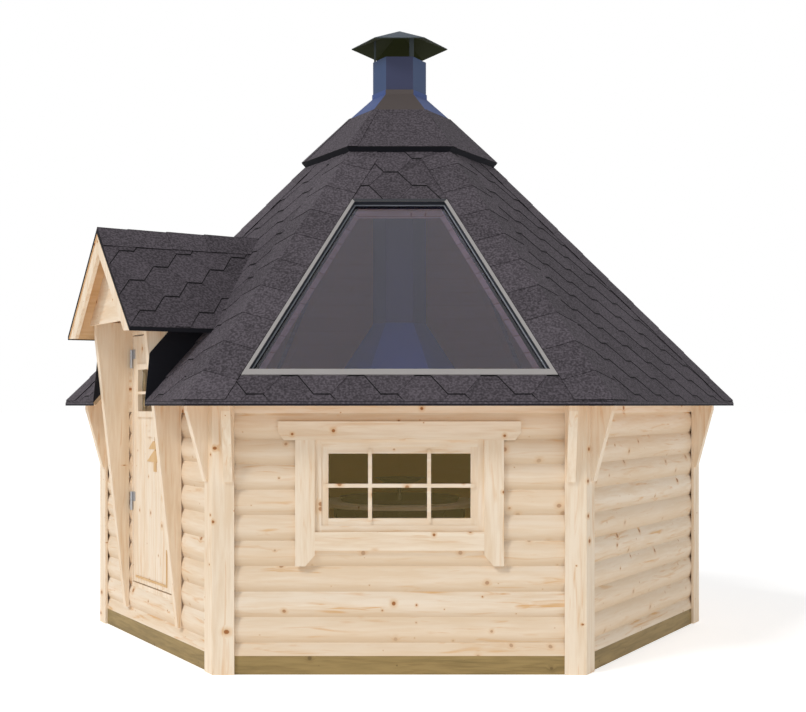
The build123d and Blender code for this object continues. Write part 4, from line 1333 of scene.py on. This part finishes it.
@dataclass
class Dormer:
    """The little roof over the door with its gable, cheeks and trims."""

    finishes: Finishes
    ridge_z: float = 2.355
    front_out: float = 1.95495
    half_w: float = 0.575
    eave_out: float = 1.83597
    main_rise: float = 1.12734
    roof_thickness: float = 0.014
    first_joint: float = 0.176
    joint_step: float = 0.230
    main_eave_z: float = 1.38527
    tab_foot: Pair = (0.127, 0.132)
    foot: float = 0.003
    front: float = 0.002
    cap_w: float = 0.150
    cap_rise: float = 0.02
    cap_front: float = 0.001
    strip_w: float = 0.003
    strip_rise: float = 0.001
    strip_proud: float = 0.0015

    def meets(self, side: float) -> float:
        """Returns how far out the dormer's surface runs into the main roof."""
        return self.eave_out - (self.ridge_z - abs(side) - self.main_eave_z) / self.main_rise

    def build(self) -> None:
        """Dresses the dormer and lays its tabs."""
        f = self.finishes
        dress(["dormer_gable"], f.level_boards)
        dress(["dormer_barge_boards", "door_cheeks"], f.boards)
        dress(["head_wall"], f.level_boards)
        dress(["dormer_roof_left", "dormer_roof_right"], f.soffit)
        dress(["cheek_upstands"], f.edge)
        slopes = []
        matrix = turn(DOOR_SIDE)
        for sign in (-1, 1):
            origin = matrix @ Vector((sign * self.half_w, -self.front_out, self.ridge_z - self.half_w))
            along = matrix @ Vector((0, sign, 0))
            up = matrix @ Vector((-sign, 0, 1)).normalized()
            slopes.append(Slope(origin, along, up))
        length = self.half_w * math.sqrt(2)
        foot_end = self.front_out - self.meets(self.half_w - self.foot / math.sqrt(2))
        ridge_end = self.front_out - self.meets(0.0)
        field = [(self.front, self.foot), (foot_end, self.foot), (ridge_end, length), (self.front, length)]
        over = length + self.cap_rise
        capped = [*field[:3], (ridge_end, over), (self.front, over)]
        above = []
        for sign, slope, name in ((-1, slopes[0], "left"), (1, slopes[1], "right")):
            own, wide = (region if sign > 0 else mirrored(region) for region in (field, capped))
            sheaf = Sheaf(30 + sign)
            first = (sign * self.tab_foot[0], self.tab_foot[1])
            TabPattern(falling=sign < 0).cover(sheaf, slope, [own], first)
            sheaf.piece(f"dormer_{name}_tabs", f.shingle, HUT, "shingle")
            above.append(wide)
        caps = Sheaf(33)
        pattern = CapPattern(width=self.cap_w)
        low_end = matrix @ Vector((0, -self.front_out + self.cap_front, self.ridge_z))
        high_end = matrix @ Vector((0, -self.meets(0.0), self.ridge_z))
        whole = (high_end - low_end).length
        starts = [0.0, *(self.first_joint + k * self.joint_step for k in range(4))]
        joints = [(a, min(whole, a + self.joint_step + pattern.lap)) for a in starts if a < whole]
        pattern.fold(caps, (low_end, high_end), (slopes[0], slopes[1]), (above[0], above[1]), joints)
        caps.piece("dormer_ridge_tabs", f.cap, HUT, "shingle")
        self.edges()

    def edges(self) -> None:
        """Puts thin dark strips over the dormer's eaves and its front edges."""
        sheaf = Sheaf()
        z, half = self.ridge_z - self.half_w, self.half_w
        thick = self.roof_thickness * math.sqrt(2)
        eave = rectangle(-half, self.strip_w - half, z - thick, z + self.strip_rise)
        verge = [(0.0, self.ridge_z), (-half, z), (-half, z - thick), (0.0, self.ridge_z - thick)]
        for shape, outs in (
            (eave, (self.front_out, self.meets(half))),
            (verge, (self.front_out + self.strip_proud, self.front_out)),
        ):
            for outline in (shape, mirrored(shape)):
                sheaf.upright(DOOR_SIDE, (outline, outline), outs)
        sheaf.piece("dormer_eave_strip", self.finishes.edge, HUT, "sheet_metal")


@dataclass
class Doorway:
    """Frame, leaf, pane, trims and ironmongery of the door."""

    finishes: Finishes
    face_out: float = 1.61395
    tiers: tuple[tuple[float, float, float], ...] = ((0.135, 1.045, 1.118), (0.106, 1.118, 1.186))
    trunk_half: float = 0.022
    trunk_low: float = 0.990
    tree_thickness: float = 0.004
    # The next four set a narrow darker strip of painted shade along the lower and right edges of a raised
    # field.
    bead_w: float = 0.012
    shade_strip_thickness: float = 0.005
    shade_strip_across: Pair = (-0.336, 0.200)
    shade_strip_up: Pair = (0.350, 0.560)

    def build(self) -> None:
        """Dresses the door."""
        f = self.finishes
        dress(["door_frame"], f.boards)
        dress(["door_leaf", "door_trim"], f.door_boards)
        dress(["door_glass"], f.clear)
        dress(["frame_hinges", "leaf_hinges", "door_handle"], f.zinc)
        self.tree()
        # the darker strip is painted shade
        self.bead()

    def planted(self, name: str, outlines: Iterable[Sequence[Pair]], thickness: float) -> None:
        """Plants flat shapes on the leaf's face.

        Args:
            name: the piece's name.
            outlines: their corners as (across, height), counter-clockwise from outside.
            thickness: how far they stand out.
        """
        sheaf = Sheaf()
        for outline in outlines:
            sheaf.upright(DOOR_SIDE, (outline, outline), (self.face_out + thickness, self.face_out))
        sheaf.piece(name, self.finishes.ornament, DOOR, "board_wood")

    def tree(self) -> None:
        """Plants the lower tiers and the trunk of the fir tree on the leaf."""
        tiers = [[(-half, low), (half, low), (0.0, top)] for half, low, top in self.tiers]
        trunk = rectangle(-self.trunk_half, self.trunk_half, self.trunk_low, self.tiers[0][1])
        self.planted("door_tree_tiers", [*tiers, trunk], self.tree_thickness)

    def bead(self) -> None:
        """Plants a narrow darker strip along the bottom and the right of the leaf's lower part: painted shade
        along the lower and right edges of a raised field.
        """
        (left, right), (low, high), w = self.shade_strip_across, self.shade_strip_up, self.bead_w
        level, upright = rectangle(left, right, low, low + w), rectangle(right - w, right, low + w, high)
        self.planted("door_shade_strip", [level, upright], self.shade_strip_thickness)


@dataclass
class Grill:
    """The fire bowl, table, arms and pan in the middle."""

    finishes: Finishes

    def build(self) -> None:
        """Dresses the grill."""
        f = self.finishes
        dress(["grill_bowl", "table_arms"], f.iron)
        dress(["grill_table"], f.level_boards)
        dress(["griddle_pan"], f.pan)


@dataclass(frozen=True)
class Lamp:
    """A soft distant lamp, with its turn and spread in degrees."""

    name: str
    level: float
    angles: tuple[float, float, float]
    spread: float

    def build(self) -> None:
        """Adds the lamp."""
        data = bpy.data.lights.new(self.name, "SUN")
        data.energy = self.level
        data.angle = math.radians(self.spread)
        lamp = bpy.data.objects.new(self.name, data)
        lamp.rotation_euler = tuple(math.radians(a) for a in self.angles)
        bpy.context.scene.collection.objects.link(lamp)


@dataclass(frozen=True)
class Studio:
    """Floor, lamps, world and camera."""

    camera_y: float = -8.227
    camera_z: float = 1.372
    lens: float = 57.9
    shift: Pair = (0.0043, 0.0608)
    world_level: float = 0.33
    lamps: tuple[Lamp, ...] = (
        Lamp("key_light", 1.25, (46, 0, -50), 14),
        Lamp("fill_light", 0.12, (80, 0, 10), 50),
    )
    floor_half: float = 200.0
    floor_albedo: float = 0.8
    floor_white: float = 0.64
    floor_glow: float = 0.62

    def build(self) -> None:
        """Sets up the studio."""
        self.world()
        self.floor()
        for lamp in self.lamps:
            lamp.build()
        data = bpy.data.cameras.new("camera")
        data.lens = self.lens
        data.sensor_width = 36
        data.shift_x, data.shift_y = self.shift
        data.clip_end = 500
        camera = bpy.data.objects.new("camera", data)
        camera.location = (0, self.camera_y, self.camera_z)
        camera.rotation_euler = (math.radians(90), 0, 0)
        bpy.context.scene.collection.objects.link(camera)
        bpy.context.scene.camera = camera
        bpy.context.scene.view_settings.view_transform = "Standard"

    def world(self) -> None:
        """Makes a plain pale world that looks white where it shows."""
        world = bpy.data.worlds.new("studio_world")
        world.use_nodes = True
        bpy.context.scene.world = world
        g = Graph(world.node_tree)
        path = g.add("ShaderNodeLightPath")
        shown = g.math("MAXIMUM", path.outputs["Is Camera Ray"], path.outputs["Is Glossy Ray"])
        shown = g.math("MAXIMUM", shown, path.outputs["Is Transmission Ray"])
        level = g.math("ADD", g.math("MULTIPLY", shown, 1.0 - self.world_level), self.world_level)
        back = next(n for n in world.node_tree.nodes if n.type == "BACKGROUND")
        back.inputs["Color"].default_value = (*WHITE, 1.0)
        g.feed(back.inputs["Strength"], level)

    def floor(self) -> None:
        """Makes the pale floor."""
        mesh = bpy.data.meshes.new("studio_floor")
        half = self.floor_half
        mesh.from_pydata([(x, y, 0) for x, y in rectangle(-half, half, -half, half)], [], [(0, 1, 2, 3)])
        skin = Skin("studio_floor", 0.9, specular=0.0)
        g = skin.graph
        path = g.add("ShaderNodeLightPath")
        skin.shader.inputs["Base Color"].default_value = (*[self.floor_albedo] * 3, 1.0)
        skin.shader.inputs["Emission Color"].default_value = (*WHITE, 1.0)
        shown = g.math("MULTIPLY", path.outputs["Is Camera Ray"], self.floor_white - self.floor_glow)
        g.feed(skin.shader.inputs["Emission Strength"], g.math("ADD", shown, self.floor_glow))
        mesh.materials.append(skin.material)
        plane = bpy.data.objects.new("studio_floor", mesh)
        bpy.context.scene.collection.objects.link(plane)


def main() -> None:
    """Builds the hut and its studio."""
    logging.basicConfig(level=logging.INFO, format="%(name)s %(message)s")
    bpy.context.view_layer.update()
    finishes = Finishes()
    for part in (
        Walls(finishes),
        Window(finishes),
        MainRoof(finishes),
        Crown(finishes),
        Dormer(finishes),
        Doorway(finishes),
        Grill(finishes),
        Studio(),
    ):
        part.build()
        LOG.info("%s built", type(part).__name__)


if __name__ == "__main__":
    main()
